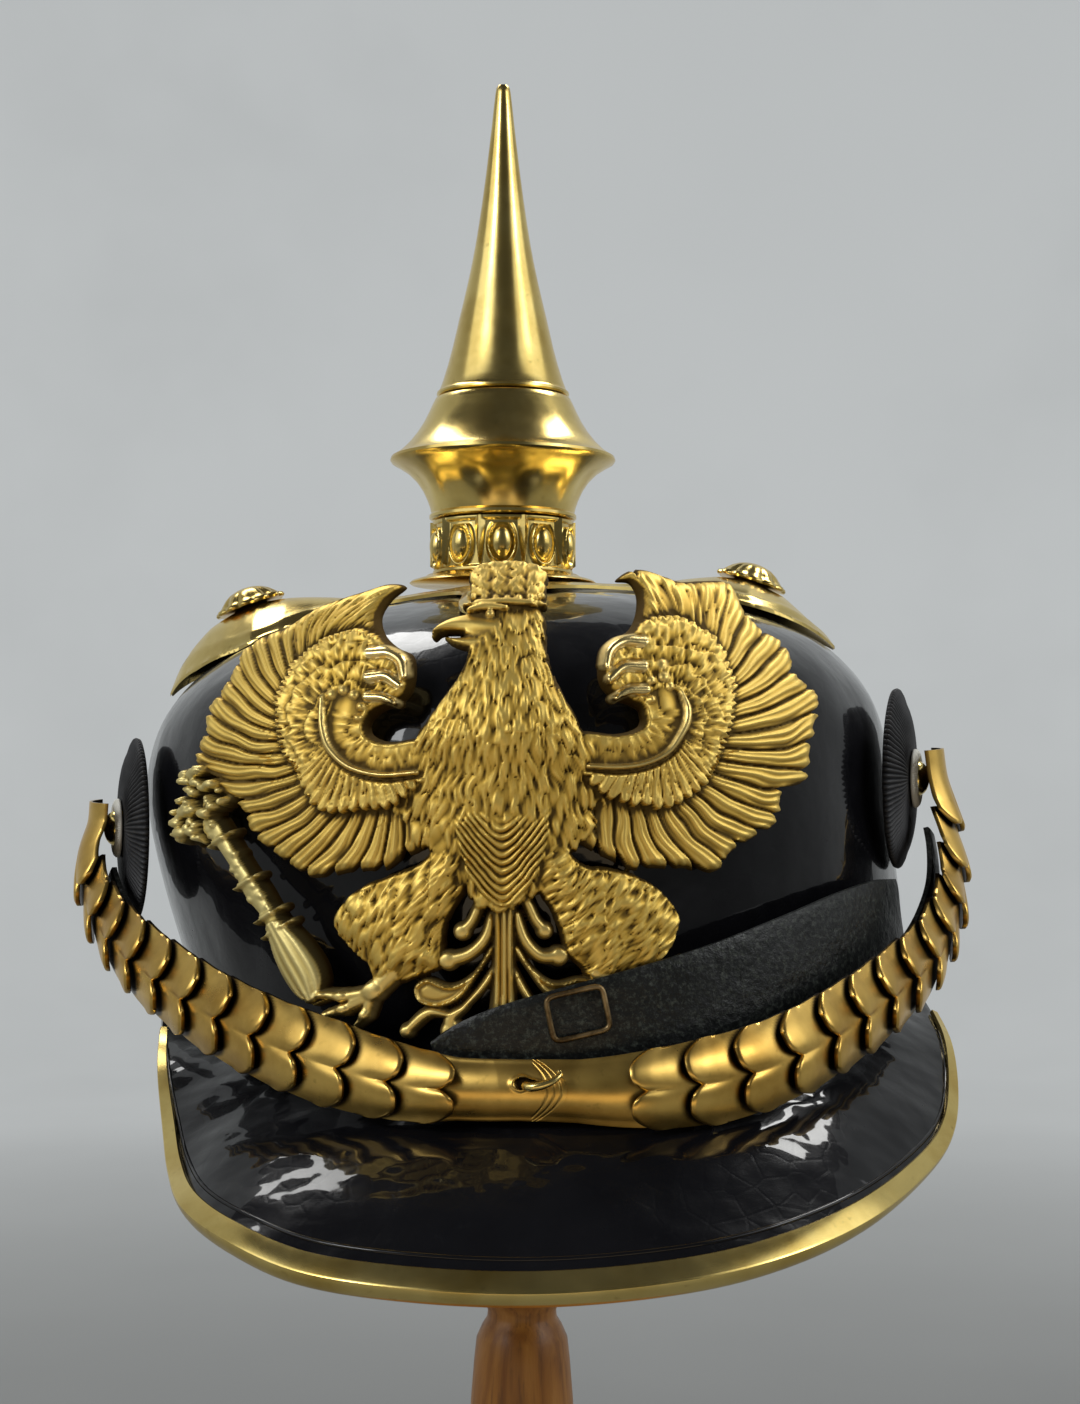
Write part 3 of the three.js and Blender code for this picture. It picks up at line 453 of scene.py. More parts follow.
def strap_leather():
    s = Shader("strap_leather", Specular_IOR_Level=0.35)
    scraped = s.times(s.step(s.noise(850, 5, 0.8), 0.50, 0.70), 0.62)
    base = s.ramp(s.noise(90, 4), [(0.3, (0.003, 0.004, 0.004)), (0.8, (0.010, 0.011, 0.011))])
    return s.finish(
        s.mixed(scraped, base, (0.10, 0.115, 0.095)),
        s.scaled(s.noise(160, 4), 0.22, 0.5),
        s.bump(s.cells(700), 0.5, 0.12, s.bump(s.noise(180, 5, 0.7), 0.8, 0.6)),
    )


def cockade_cloth(name, cloud, stops, roughness, threads, depth):
    s = Shader(name)
    return s.finish(
        s.ramp(s.noise(cloud, 4), stops),
        s.scaled(s.noise(90, 3), *roughness),
        s.bump(s.noise(threads, 3), depth, 0.08),
    )


def stained_wood():
    s = Shader("stained_wood", Coat_Weight=0.12, Coat_Roughness=0.25, Specular_IOR_Level=0.35)
    rings = s.noise(26, 6, 0.62, stretch=(6, 6, 0.55), distortion=0.8)
    grain = s.noise(240, 3, 0.6, stretch=(3, 3, 0.10))
    stain = [(0.28, (0.19, 0.065, 0.012)), (0.55, (0.36, 0.150, 0.026)), (0.8, (0.50, 0.240, 0.055))]
    pores = s.times(s.step(grain, 0.54, 0.66), 0.45)
    return s.finish(
        s.mixed(pores, s.ramp(rings, stain), (0.10, 0.04, 0.014)),
        s.scaled(grain, 0.32, 0.5),
        s.bump(grain, 0.25, 0.12),
    )


def tarnished_bronze():
    s = Shader("tarnished_bronze", Metallic=1.0)
    return s.finish(
        s.ramp(s.noise(300, 4), [(0.35, (0.10, 0.065, 0.03)), (0.7, (0.42, 0.30, 0.15))]),
        s.scaled(s.noise(200, 4), 0.32, 0.6),
    )


BRASS = polished_brass("polished_brass", (0.86, 0.66, 0.23), (0.66, 0.46, 0.12), (0.13, 0.30), 0.25)
SCALE_BRASS = polished_brass("scale_brass", (0.79, 0.52, 0.135), (0.53, 0.31, 0.065), (0.20, 0.42), 0.4)
GILT = gilt_brass()
LACQUER = lacquered_leather()
NATURAL = natural_leather()
STRAP = strap_leather()
BLACK_CLOTH = [(0.35, (0.010, 0.010, 0.012)), (0.8, (0.035, 0.035, 0.038))]
WHITE_CLOTH = [(0.3, (0.78, 0.75, 0.64)), (0.7, (0.95, 0.93, 0.87))]
COCKADE = cockade_cloth("cockade_black", 200, BLACK_CLOTH, (0.4, 0.65), 700, 0.3)
WHITE = cockade_cloth("cockade_silver_white", 160, WHITE_CLOTH, (0.35, 0.55), 600, 0.25)
WOOD = stained_wood()
BRONZE = tarnished_bronze()


# ------------------------------------------------------------------ skull
def leaned(p):
    """Turns points of the upright skull about the middle of its brow line."""
    x, z = p[..., 0] - SHELL_X, p[..., 2] - SIGHT - BROW
    c, s = cos(SHELL_ROLL), sin(SHELL_ROLL)
    return xyz(SHELL_X + x * c - z * s, p[..., 1], SIGHT + BROW + x * s + z * c)


def shell_depth(turn, inset):
    return np.where(np.cos(turn) > 0, SHELL_FRONT, SHELL_REAR) - inset


def rim_drop(turn):
    return WALL_DROP + FRONT_DROP * np.maximum(0, np.cos(turn)) ** 1.3


def wall_point(turn, drop, inset):
    """A point of the wall: turn is 0 at the brow, drop is how far it is under the dome."""
    turn, drop = np.broadcast_arrays(np.asarray(turn, float), np.asarray(drop, float))
    ease = smoothstep(drop / WALL_DROP)
    scale = 1 - RIM_TAPER * ease
    x = SHELL_X + RIM_SHIFT * ease + (SHELL_HALF_WIDTH - inset) * scale * np.sin(turn)
    y = -shell_depth(turn, inset) * scale * np.cos(turn)
    return leaned(xyz(x, y, SIGHT + BROW - drop))


def dome_point(turn, lift, inset):
    """A point of the dome: lift is the angle up from its foot."""
    turn = np.asarray(turn, float)
    out = max(cos(lift), 0) ** (2 / DOME_POWER)
    up = sin(lift) ** (2 / DOME_POWER)
    x = SHELL_X + (SHELL_HALF_WIDTH - inset) * out * np.sin(turn)
    y = -shell_depth(turn, inset) * out * np.cos(turn)
    return leaned(xyz(x, y, np.full(turn.shape, SIGHT + BROW + (DOME_RISE - inset) * up)))


def dome_height(x, y):
    across = (x - SHELL_X) / SHELL_HALF_WIDTH
    along = y / np.where(y < 0, SHELL_FRONT, SHELL_REAR)
    out = np.minimum(np.hypot(across, along), 1)
    rise = DOME_RISE * (1 - out**DOME_POWER) ** (1 / DOME_POWER)
    return SIGHT + BROW + rise + (x - SHELL_X) * sin(SHELL_ROLL)


def shell_rings(inset, sides):
    turns = circle(sides)
    shares = np.concatenate([[1.0, 0.985], np.linspace(0.95, 0, 14)])
    lifts = np.radians(np.linspace(0, 90, 34)[1:-1])
    rings = [wall_point(turns, share * rim_drop(turns), inset) for share in shares]
    rings += [dome_point(turns, lift, inset) for lift in lifts]
    # the old leather is a little uneven, least at the rim
    for k, ring in enumerate(rings):
        uneven = value_noise(turns / (2 * pi) * 64 * 2, np.full(sides, k * 0.5), 2.0, 3)
        ring += unit(ring - [SHELL_X, 0, SIGHT]) * (uneven * 0.28 * min(k / 6, 1))[:, None]
    rings.append(dome_point(np.array([0.0]), pi / 2, inset))
    return rings


def make_shell():
    sides = 144
    outer = shell_rings(0.0, sides)
    inner = shell_rings(SHELL_WALL, sides)
    points, faces = ring_skin(outer[::-1] + inner)
    outside = (len(outer) - 1) * sides
    slots = [0 if f[0] < outside else 1 for f in faces]
    add_mesh("shell_leather", points, faces, [LACQUER, NATURAL], ["shell"], 50, slots)


# ------------------------------------------------------------------ visors
VISOR_EDGE = [
    # x, y, height: the front visor's outer edge from its left end to its right
    (-86.5, -33, -59.5), (-82.5, -55, -69), (-76.5, -78, -80), (-72.5, -93, -86), (
        -66.5, -110.5, -90,
    ), (-55, -127, -93),
    (-41, -137.5, -96), (
        -18, -144.5, -97.6,
    ), (8, -145.5, -98), (36, -141, -96), (53.5, -133, -93.3), (68, -121, -90),
    (82, -102, -85.5), (91, -86, -81), (95.5, -73, -75.5), (98.6, -52, -65), (97, -31, -56),
]
VISOR_WALL = 2.2
VISOR_BULGE = 2.5
VISOR_STEPS, VISOR_ROWS = 120, 14
# the channel's reach over the leather, and its softened lip
TRIM_DEPTH, TRIM_BEND, TRIM_ROUND = 4.4, 4.1, 0.25
TRIM_SPACE, TRIM_WALL = 0.25, 0.95
TOOLED_AT = 0.875  # where the tooled line runs, from the seam to the edge
NECK_GUARD_REACH = 52


def visor_seam(first, last, t):
    """Turns along a visor's seam, and its points just off the skull."""
    turn = lerp(radians(first), radians(last), t)
    return turn, wall_point(turn, rim_drop(turn) - 2, -(VISOR_WALL / 2 + GAP + 0.4))


def visor_grid():
    edge = Route(catmull(np.array(VISOR_EDGE) + [0, 0, SIGHT]))
    t = np.linspace(0, 1, VISOR_STEPS + 1)
    turn, seam = visor_seam(-67, 73, t)
    outer = edge.point(t * edge.length)
    share = np.linspace(0, 1, VISOR_ROWS)[:, None]
    p = seam[None] * (1 - share[..., None]) + outer[None] * share[..., None]
    swell = VISOR_BULGE * np.sin(pi * share) * np.sin(pi * np.clip(t, 0.04, 0.96))[None]
    wave = 0.25 * value_noise(t[None] * 60, share * 10, 4.0, 5) * np.sin(pi * share)
    return p + xyz(np.sin(turn) * 0.5 * swell, -np.cos(turn) * 0.5 * swell, 0.8 * swell + wave)


def make_sheet(name, grid, node):
    """A leather visor, lacquered above and plain below."""
    normals = grid_normals(grid)
    points, faces = plate_skin(grid + normals * VISOR_WALL / 2, grid - normals * VISOR_WALL / 2)
    quads = (grid.shape[0] - 1) * (grid.shape[1] - 1)
    slots = [0] * quads + [1] * quads + [0] * (len(faces) - 2 * quads)
    creased = {"creased": np.ones(len(points))}
    add_mesh(name, points, faces, [LACQUER, NATURAL], [node], 50, slots, creased)


def make_visor():
    grid = visor_grid()
    make_sheet("front_visor_leather", grid, "front_visor")
    normals = grid_normals(grid)
    make_tooled_line(grid, normals)
    # the brass channel along the edge, drawn in towards the visor's ends
    run = np.s_[3:-3]
    v = normals[-1, run]
    u = across_to(grid[-1, run] - grid[-3, run], v)
    u = across_to(u, unit(np.gradient(grid[-1], axis=0))[run])
    t = np.linspace(0, 1, VISOR_STEPS + 1)[run]
    u = u * lerp(0.25, 1, np.sin(pi * t) ** 0.9)[:, None]
    inside = VISOR_WALL / 2 + TRIM_SPACE
    outside = inside + TRIM_WALL
    nose = [(0.4 + 1.1 * cos(a), outside * sin(a)) for a in np.linspace(pi / 2, -pi / 2, 9)]
    upper = [(-TRIM_DEPTH, outside - TRIM_ROUND), (-TRIM_BEND, outside)]
    lower = [(-TRIM_BEND, -outside), (-TRIM_DEPTH, -outside + TRIM_ROUND)]
    floor = 0.35
    hollow = [(-TRIM_DEPTH, -inside), (floor, -inside), (floor, inside), (-TRIM_DEPTH, inside)]
    profile = upper + nose + lower + hollow
    points, faces = sweep_profile(profile, grid[-1, run] + u * GAP, u, v)
    add_mesh("visor_trim_channel", points, faces, [BRASS], ["visor_trim"], 28)


def make_tooled_line(grid, normals):
    """A thin raised line along the visor, a few millimetres inside its trim."""
    at = TOOLED_AT * (VISOR_ROWS - 1)
    i = int(at)
    line = lerp(grid[i], grid[i + 1], at - i)[6:-6]
    n = normals[i][6:-6]
    side = unit(np.cross(n, unit(np.gradient(line, axis=0))))
    points, faces = sweep_profile(ellipse_points(0.45, 0.3, 8), line + n * (VISOR_WALL / 2 + 0.02), side, n)
    add_mesh("visor_tooled_line", points, faces, [LACQUER], [], 60)


def make_rear_visor():
    steps, rows = 80, 14
    t = np.linspace(0, 1, steps + 1)
    turn, seam = visor_seam(97, 263, t)
    out = xyz(np.sin(turn), -np.cos(turn), np.zeros_like(turn))
    grid = []
    for share in np.linspace(0, 1, rows):
        reach = NECK_GUARD_REACH * np.maximum(0.14, np.sin(pi * t) ** 0.55) * share
        slope = radians(lerp(70, 52, share))
        drop = np.zeros_like(out)
        drop[:, 2] = -reach * sin(slope)
        grid.append(seam + out * (reach * cos(slope))[:, None] + drop)
    make_sheet("rear_visor_leather", np.array(grid), "rear_visor")


# ------------------------------------------------------------------ relief sheets
def sdf_polygon(px, py, outline):
    """Distance to a closed outline, positive inside."""
    pts = np.asarray(outline, float)
    nearest = np.full(px.shape, 1e18)
    inside = np.zeros(px.shape, bool)
    for (x0, y0), (x1, y1) in zip(pts, np.roll(pts, -1, axis=0)):
        ex, ey = x1 - x0, y1 - y0
        wx, wy = px - x0, py - y0
        t = np.clip((wx * ex + wy * ey) / max(ex * ex + ey * ey, 1e-12), 0, 1)
        nearest = np.minimum(nearest, (wx - ex * t) ** 2 + (wy - ey * t) ** 2)
        if y0 != y1:
            crosses = ((y0 <= py) & (y1 > py)) | ((y1 <= py) & (y0 > py))
            inside ^= crosses & (px < ex * (py - y0) / ey + x0)
    d = np.sqrt(nearest)
    return np.where(inside, d, -d)


def inside_of(x, z, outline):
    """Distance into a smooth closed curve through the outline's points."""
    return sdf_polygon(x, z, catmull(outline, 5, closed=True))


def sdf_stroke(px, py, rows):
    """Distance into a tapered stroke, with how far along and across it each point is."""
    pts = catmull(np.asarray(rows, float), 8)
    best = np.full(px.shape, -1e9)
    along = np.zeros(px.shape)
    across = np.zeros(px.shape)
    walked = 0.0
    for (x0, y0, w0), (x1, y1, w1) in zip(pts[:-1], pts[1:]):
        ex, ey = x1 - x0, y1 - y0
        size = hypot(ex, ey)
        t = np.clip(((px - x0) * ex + (py - y0) * ey) / max(size * size, 1e-12), 0, 1)
        dx, dy = px - x0 - ex * t, py - y0 - ey * t
        half = lerp(w0, w1, t) / 2
        d = half - np.hypot(dx, dy)
        better = d > best
        best = np.where(better, d, best)
        along = np.where(better, walked + t * size, along)
        across = np.where(better, (dx * -ey + dy * ex) / size / half, across)
        walked += size
    return best, along, across


MOST_MOVED = 1.42  # in grid steps: the diagonal of a cell


def relief_mesh(x, y, inside, top, bottom):
    """Points and faces of a sheet over a grid where inside > 0, and which grid points it uses.

    Its edge points are moved onto the outline. top and bottom turn plan points into places.
    """
    rows, columns = inside.shape
    cell = (inside[:-1, :-1] > 0) | (inside[1:, :-1] > 0) | (inside[:-1, 1:] > 0) | (inside[1:, 1:] > 0)
    used = np.zeros(inside.shape, bool)
    for di, dj in ((0, 0), (0, 1), (1, 0), (1, 1)):
        used[di : rows - 1 + di, dj : columns - 1 + dj] |= cell
    pitch = x[0, 1] - x[0, 0]
    gy, gx = np.gradient(inside, y[1, 0] - y[0, 0], pitch)
    size = np.maximum(np.hypot(gx, gy), 0.3)
    step = np.where(used & (inside < 0), -inside / size, 0)
    step = np.clip(step, 0, MOST_MOVED * pitch)
    mx, my = x + gx / size * step, y + gy / size * step
    number = -np.ones(inside.shape, int)
    number[used] = np.arange(used.sum())
    ci, cj = np.nonzero(cell)
    quads = np.stack([number[ci, cj], number[ci, cj + 1], number[ci + 1, cj + 1], number[ci + 1, cj]], -1)
    count = int(used.sum())
    front = top(mx[used], my[used], used)
    back = bottom(mx[used], my[used], used)
    # the wall between the two sheets runs along every cell side that has one neighbour
    sides = {}
    for quad in quads:
        for a, b in zip(quad, np.roll(quad, -1)):
            if not sides.pop((b, a), False):
                sides[a, b] = True
    walls = [(a, b, count + b, count + a) for a, b in sides]
    faces = quads.tolist() + (quads[:, ::-1] + count).tolist() + walls
    return np.concatenate([front, back]), faces, used


# ------------------------------------------------------------------ cross
SIDE_LEAF = [
    (18, 15), (30, 13.5), (40, 12.5), (48, 16), (55, 20.5), (62, 21.5), (70, 18), (77, 12), (82, 6.5),
    (85.5, 1.5),
]
FRONT_LEAF = [(18, 15), (30, 12), (40, 9.5), (52, 8.6), (62, 9), (68, 8), (72, 5), (75, 1.5)]
LOW_RIDGE = [(18, 1.6), (40, 3.5), (55, 7), (63, 8), (72, 6.6), (80, 3), (86, 1.8)]
HIGH_RIDGE = [(18, 1.6), (40, 5), (55, 9.5), (65, 12), (75, 12.5), (80, 11.5), (86, 8.6)]
LOW_EDGE = [(18, 1.6), (55, 1.4), (72, 1.5), (86, 1.7)]
HIGH_EDGE = [(18, 1.6), (55, 1.5), (66, 1.8), (77, 4.5), (86, 8.4)]
FRONT_RIDGE = [(18, 1.6), (40, 2.6), (60, 3.2), (75, 1.8)]
ARMS = {
    # heading x, y, leaf, ridge, edge, stud's reach, stud's size
    "front": (0, -1, FRONT_LEAF, FRONT_RIDGE, LOW_EDGE, 64, 0.75),
    "left": (-1, 0, SIDE_LEAF, HIGH_RIDGE, HIGH_EDGE, 65, 1.0),
    "right": (1, 0, SIDE_LEAF, LOW_RIDGE, LOW_EDGE, 64, 1.0),
    "rear": (0, 1, SIDE_LEAF, LOW_RIDGE, LOW_EDGE, 65, 1.0),
}
CROSS_WALL = 1.2
CROSS_STEP = 0.7
CROSS_FILLET = 10  # where its arms run into its middle
CROSS_BEAD = 0.35
STUD = [
    # radius, height
    (0, 0), (8.6, 0), (8.9, 0.5), (8.6, 1.1), (7.6, 1.5), (6.9, 2.3), (5.8, 3.4), (4.4, 4.3), (2.6, 4.9), (
        1.2, 5.15,
    ), (0, 5.2),
]


def cross_lift(x, y):
    """How far the cross's middle surface stands off the leather."""
    lift = np.zeros_like(x)
    weight = np.zeros_like(x)
    for hx, hy, leaf, ridge, edge, _, _ in ARMS.values():
        reach = (x - SPIKE_X) * hx + y * hy
        across = y * hx - (x - SPIKE_X) * hy
        side = np.clip(np.abs(across) / table_value(leaf, reach), 0, 1)
        rise = lerp(table_value(ridge, reach), table_value(edge, reach), side**2)
        w = np.maximum(reach - np.abs(across), 0) ** 2 + 1e-6
        lift += w * rise
        weight += w
    return lift / weight


def make_cross():
    x, y = np.meshgrid(np.arange(SPIKE_X - 90, SPIKE_X + 90, CROSS_STEP), np.arange(-80, 90, CROSS_STEP))
    field = 30 - np.hypot(x - SPIKE_X, y)
    for hx, hy, leaf, *_ in ARMS.values():
        half = catmull(np.array(leaf), 6)
        outline = np.vstack([half, half[::-1] * [1, -1]])
        px = SPIKE_X + outline[:, 0] * hx - outline[:, 1] * hy
        py = outline[:, 0] * hy + outline[:, 1] * hx
        arm = sdf_polygon(x, y, np.stack([px, py], -1))
        blend = np.clip(0.5 + 0.5 * (arm - field) / CROSS_FILLET, 0, 1)
        field = field * (1 - blend) + arm * blend + CROSS_FILLET * blend * (1 - blend)

    def sheet(sign):
        def at(px, py, used):
            edge = smoothstep(field[used], 0, 1.6)
            z = dome_height(px, py) + cross_lift(px, py) + sign * CROSS_WALL / 2
            if sign > 0:
                # a raised bead follows the outline, as on the struck original
                z = z - CROSS_BEAD * (1 - edge) + CROSS_BEAD * bell(field[used], 2.2, 0.7)
            return xyz(px, py, z)

        return at

    points, faces, _ = relief_mesh(x, y, field, sheet(1), sheet(-1))
    add_mesh("cross_plate", points, faces, [BRASS], ["base_cross"], 60)


def arm_place(arm, reach):
    """The cross's middle surface on the middle line of an arm."""
    x, y = np.array([SPIKE_X + arm[0] * reach]), np.array([arm[1] * reach])
    return xyz(x, y, dome_height(x, y) + cross_lift(x, y))[0]


def star(angle, z):
    """Six pairs of flutes, which fade towards the stud's top."""
    return (np.abs(np.cos(angle * 6)) - 0.5) * (0.9 if z < 1.4 else 0.75 * np.clip((5 - z) / 3.5, 0, 1))


def make_studs():
    for name, arm in ARMS.items():
        reach, size = arm[5], arm[6]
        x_axis = unit(arm_place(arm, reach + 4) - arm_place(arm, reach - 4))
        up = unit(np.cross(x_axis, [-arm[1], arm[0], 0.0]))
        if up[2] < 0:
            up = -up
        origin = arm_place(arm, reach) + up * (CROSS_WALL / 2 - 0.5)
        points, faces = ring_skin(turned_rings(STUD, 96, ripple=star))
        points = place(points * size, origin, x_axis, np.cross(up, x_axis), up)
        add_mesh(f"star_stud_{name}", points, faces, [BRASS], [f"stud_{name}"], 50)


# ------------------------------------------------------------------ spike
NECK = [
    # radius, height over the sight line
    (0, 47.8), (
        23.6, 47.8,
    ), (24.1, 48.1), (23.6, 48.6), (21.6, 49.2), (20.2, 49.6), (19.6, 50.1), (15.2, 50.3),
    (
        15.2, 64.2,
    ), (18.4, 64.4), (19.0, 64.9), (19.0, 65.6), (18.5, 66.2), (18.8, 67.6), (19.5, 69.6), (20.6, 72.0),
    (
        22.2, 74.4,
    ), (24.4, 76.6), (27.2, 78.5), (28.7, 79.3), (29.1, 79.9), (28.9, 80.6), (27.8, 81.2), (26.3, 82.3),
    (
        24.2, 84.4,
    ), (22.2, 86.9), (20.5, 89.6), (19.2, 92.2), (18.2, 94.4), (17.5, 95.8), (16.9, 96.2), (0, 96.2),
]
CONE = [
    (0, 96.6), (16.7, 96.6), (
        17.15, 97.0,
    ), (17.1, 97.5), (16.6, 97.9), (16.35, 98.4), (15.6, 100.4), (14.3, 104.6),
    (
        13.0, 109.5,
    ), (11.5, 116.2), (10.3, 121.2), (9.1, 126.4), (8.1, 131.2), (7.2, 136), (6.3, 141.5), (5.4, 147.6),
    (4.5, 154.4), (3.7, 161), (3.0, 167), (2.4, 172.6), (2.0, 176), (1.75, 177.4), (1.2, 178.15), (0, 178.4),
]


PEARLS = 10
BAND_RADIUS, BAND_BORE = 17.3, 16.2
PEARL_ARC = 18.2  # turns an angle into a width along the band


def arches(angle, z):
    """Shallow hollows round the neck's flare."""
    up = z - SIGHT
    return -0.5 * np.clip((up - 67) / 6, 0, 1) * np.clip(
        (78.2 - up) / 1.2, 0, 1,
    ) * np.abs(np.sin(angle * 5)) ** 3


def make_spike():
    for name, profile, node, sides, ripple in (
        ("neck_vase", NECK, "spike_neck", 240, arches),
        ("spike_tall_cone", CONE, "spike_cone", 128, None),
    ):
        shifted = [(r, z + SIGHT) for r, z in profile]
        points, faces = ring_skin(turned_rings(shifted, sides, (SPIKE_X, 0), ripple))
        add_mesh(name, points, faces, [BRASS], [node], 38)


def make_pearl_band():
    """A ring of eggs in husks with darts between them, between two plain lips."""
    sides, rows = 600, 60
    a, h = np.meshgrid(circle(sides), np.linspace(50.5, 63.9, rows))
    pitch = 2 * pi / PEARLS
    x = (((a + pi / 2 + pitch / 2) % pitch) - pitch / 2) * PEARL_ARC
    z = h - 57.2
    oval = np.hypot(x / 2.7, z / 4.2)
    egg = 2.2 * rounded(oval)
    husk = 1.3 * bell(oval, 1.28, 0.16) * (z < 4.8)
    between = np.abs(np.abs(x) - pitch * PEARL_ARC / 2)
    thick = np.clip(0.35 + (z + 5.2) * 0.13, 0.25, 1.5)
    dart = 1.5 * np.clip(1 - between / thick, 0, 1) * smoothstep(z, -5.6, -4.6)
    lip = 0.8 * smoothstep(np.abs(z), 5.6, 6.1)
    radius = BAND_RADIUS + np.maximum.reduce([egg, husk, dart, lip])

    def wall(radius):
        return xyz(SPIKE_X + radius * np.cos(a), radius * np.sin(a), h + SIGHT)

    rings = np.concatenate([wall(radius), wall(BAND_BORE)[::-1][::8]])
    faces = grid_faces(len(rings), sides, close_rows=True, close_columns=True)
    add_mesh("pearl_and_dart_band", rings, faces, [BRASS], ["pearl_band"], 70)


# ------------------------------------------------------------------ eagle
EAGLE_X = -5.0
EAGLE_HALF_WIDTH = 96.5
EAGLE_FRONT = 103.0
EAGLE_BACK = 0.15  # the plate's back, out from its form
EAGLE_FACE = 1.3  # the lowest ground of its face


def eagle_place(x, z, out):
    """Bends the eagle's own flat x and z round the front of the skull."""
    lift = np.maximum(z - 5, 0) / 41
    narrow = 1 - 0.25 * lift**2
    across = (x + EAGLE_X - SHELL_X) / EAGLE_HALF_WIDTH
    depth = np.sqrt(np.maximum(narrow**2 - across**2, 0.02))
    normal = unit(xyz(across / EAGLE_HALF_WIDTH, -depth / EAGLE_FRONT, 0.0016 * lift))
    spot = xyz(x + EAGLE_X, -EAGLE_FRONT * depth, SIGHT + z)
    return spot + normal * np.asarray(out)[..., None]


class Relief:
    """A struck relief over a plan: where it has metal, its height, and how polished and dull it is."""

    def __init__(self, x0, x1, z0, z1, step):
        self.x, self.z = np.meshgrid(np.arange(x0, x1, step), np.arange(z0, z1, step))
        self.field = np.full(self.x.shape, -1e3)
        self.height, self.polish, self.dull = np.zeros((3, *self.x.shape))
        self.dulling = 0.0  # how dull the shapes laid from now on are

    def window(self, points, margin):
        """The part of the plan round some points, and its x and z."""
        points = np.asarray(points, float)[:, :2]
        low, high = points.min(0) - margin, points.max(0) + margin
        j0, j1 = np.searchsorted(self.x[0], [low[0], high[0]])
        i0, i1 = np.searchsorted(self.z[:, 0], [low[1], high[1]])
        where = slice(i0, i1), slice(j0, j1)
        return where, self.x[where], self.z[where]

    def lay(self, where, inside, height, polish, over=False):
        """Puts a shape in: over means that it covers what is there, else the higher one shows."""
        self.field[where] = np.maximum(self.field[where], inside)
        soft = smoothstep(inside, -0.1, 0.35)
        old = self.height[where]
        risen = height if over else np.maximum(old, height)
        taken = soft * (1.0 if over else (height > old - 0.2))
        self.height[where] = lerp(old, risen, soft)
        self.polish[where] = lerp(self.polish[where], polish, taken)
        self.dull[where] = lerp(self.dull[where], self.dulling, taken)

    def stroke(self, rows, rise, base, grooves=0, polish=0.0, over=False, depth=0.3):
        """A tapered stroke through rows of x, z and width, with grooves along it."""
        where, x, z = self.window(rows, max(row[2] for row in rows))
        inside, _, across = sdf_stroke(x, z, rows)
        height = base + rise * rounded(across)
        if grooves:
            grooved = 0.5 - 0.5 * np.cos(2 * pi * (across * 0.5 + 0.5) * grooves)
            height = height - depth * grooved * (np.abs(across) < 0.95)
        self.lay(where, inside, height, polish, over)

    def dome(self, x, z, r, rise, base, polish, squash=1.0):
        where, px, pz = self.window([(x, z)], r * max(1, squash) + 1)
        away = np.hypot((px - x) / squash, pz - z) / r
        self.lay(where, (1 - away) * r, base + rise * rounded(away), polish)


def plumes(u, v, width, length, seed):
    """Overlapping pointed plumes, u across and v along them: 0 in the grooves, 1 on the ridges."""
    table = np.random.default_rng(seed).uniform(-1, 1, (128, 128))
    best = np.zeros(np.broadcast(u, v).shape)
    for layer in (0, 1):
        lanes = u / width + 0.5 * layer
        lane = np.floor(lanes)
        row = (lane % 128).astype(int)
        steps = v / length + 4 * table[row, 127 - layer]
        cell = np.floor(steps)
        chance = table[row, (cell % 127).astype(int)]
        t = steps - cell
        c = 2 * (lanes - lane) - 1 + 0.45 * chance * (t - 0.4)
        half = 1.15 * (1 - t**2.6) ** 0.7 + 0.05
        ridge = rounded(c / half) * (0.62 + 0.30 * np.sin(pi * t) + 0.08 * chance)
        best = np.maximum(best, ridge + 0.10 * t)
    return best


def strands(u, v, width, length, seed):
    """Plumes matted like wet fur: their ridges wander, part and run together."""
    warp = u + 0.6 * value_noise(u / width, v / length, 1.6, seed + 200)
    fur = 0.5 + 0.5 * value_noise(warp / width, v / length, 0.5, seed + 100)
    return np.clip(0.72 * plumes(warp, v, width, length, seed) + 0.42 * fur - 0.05, 0, 1.1)


LEFT_WING = [
    # x, z: its outline, from the tip round the outer edge and back along the opening beside the neck
    (
        -19.5, 40,
    ), (-23, 40.7), (-28, 39.3), (-33, 37.8), (-38, 36), (-42, 33.6), (-45, 31.4), (-48, 30.6), (-52, 28.8),
    (-55, 26.5), (-56.5, 23), (-58, 20), (
        -60.5, 16.5,
    ), (-63, 13), (-63, 9), (-65, 5), (-65, 1), (-61, -3), (-56, -6.5),
    (-53, -10), (-51.5, -14), (-47, -17.5), (
        -42.5, -20.5,
    ), (-38.5, -22.8), (-34, -22.5), (-30, -21.6), (-26, -21.2),
    (-22, -21), (
        -18.5, -18.5,
    ), (-15, -17), (-10, -12), (-14, 4.5), (-16, 5.5), (-21, 4.2), (-25, 5.2), (-27, 8),
    (-23.5, 12), (-19, 14), (-16.8, 17), (-17, 24), (-20.5, 26), (-23.5, 29), (-24.5, 33), (-22.5, 37),
]
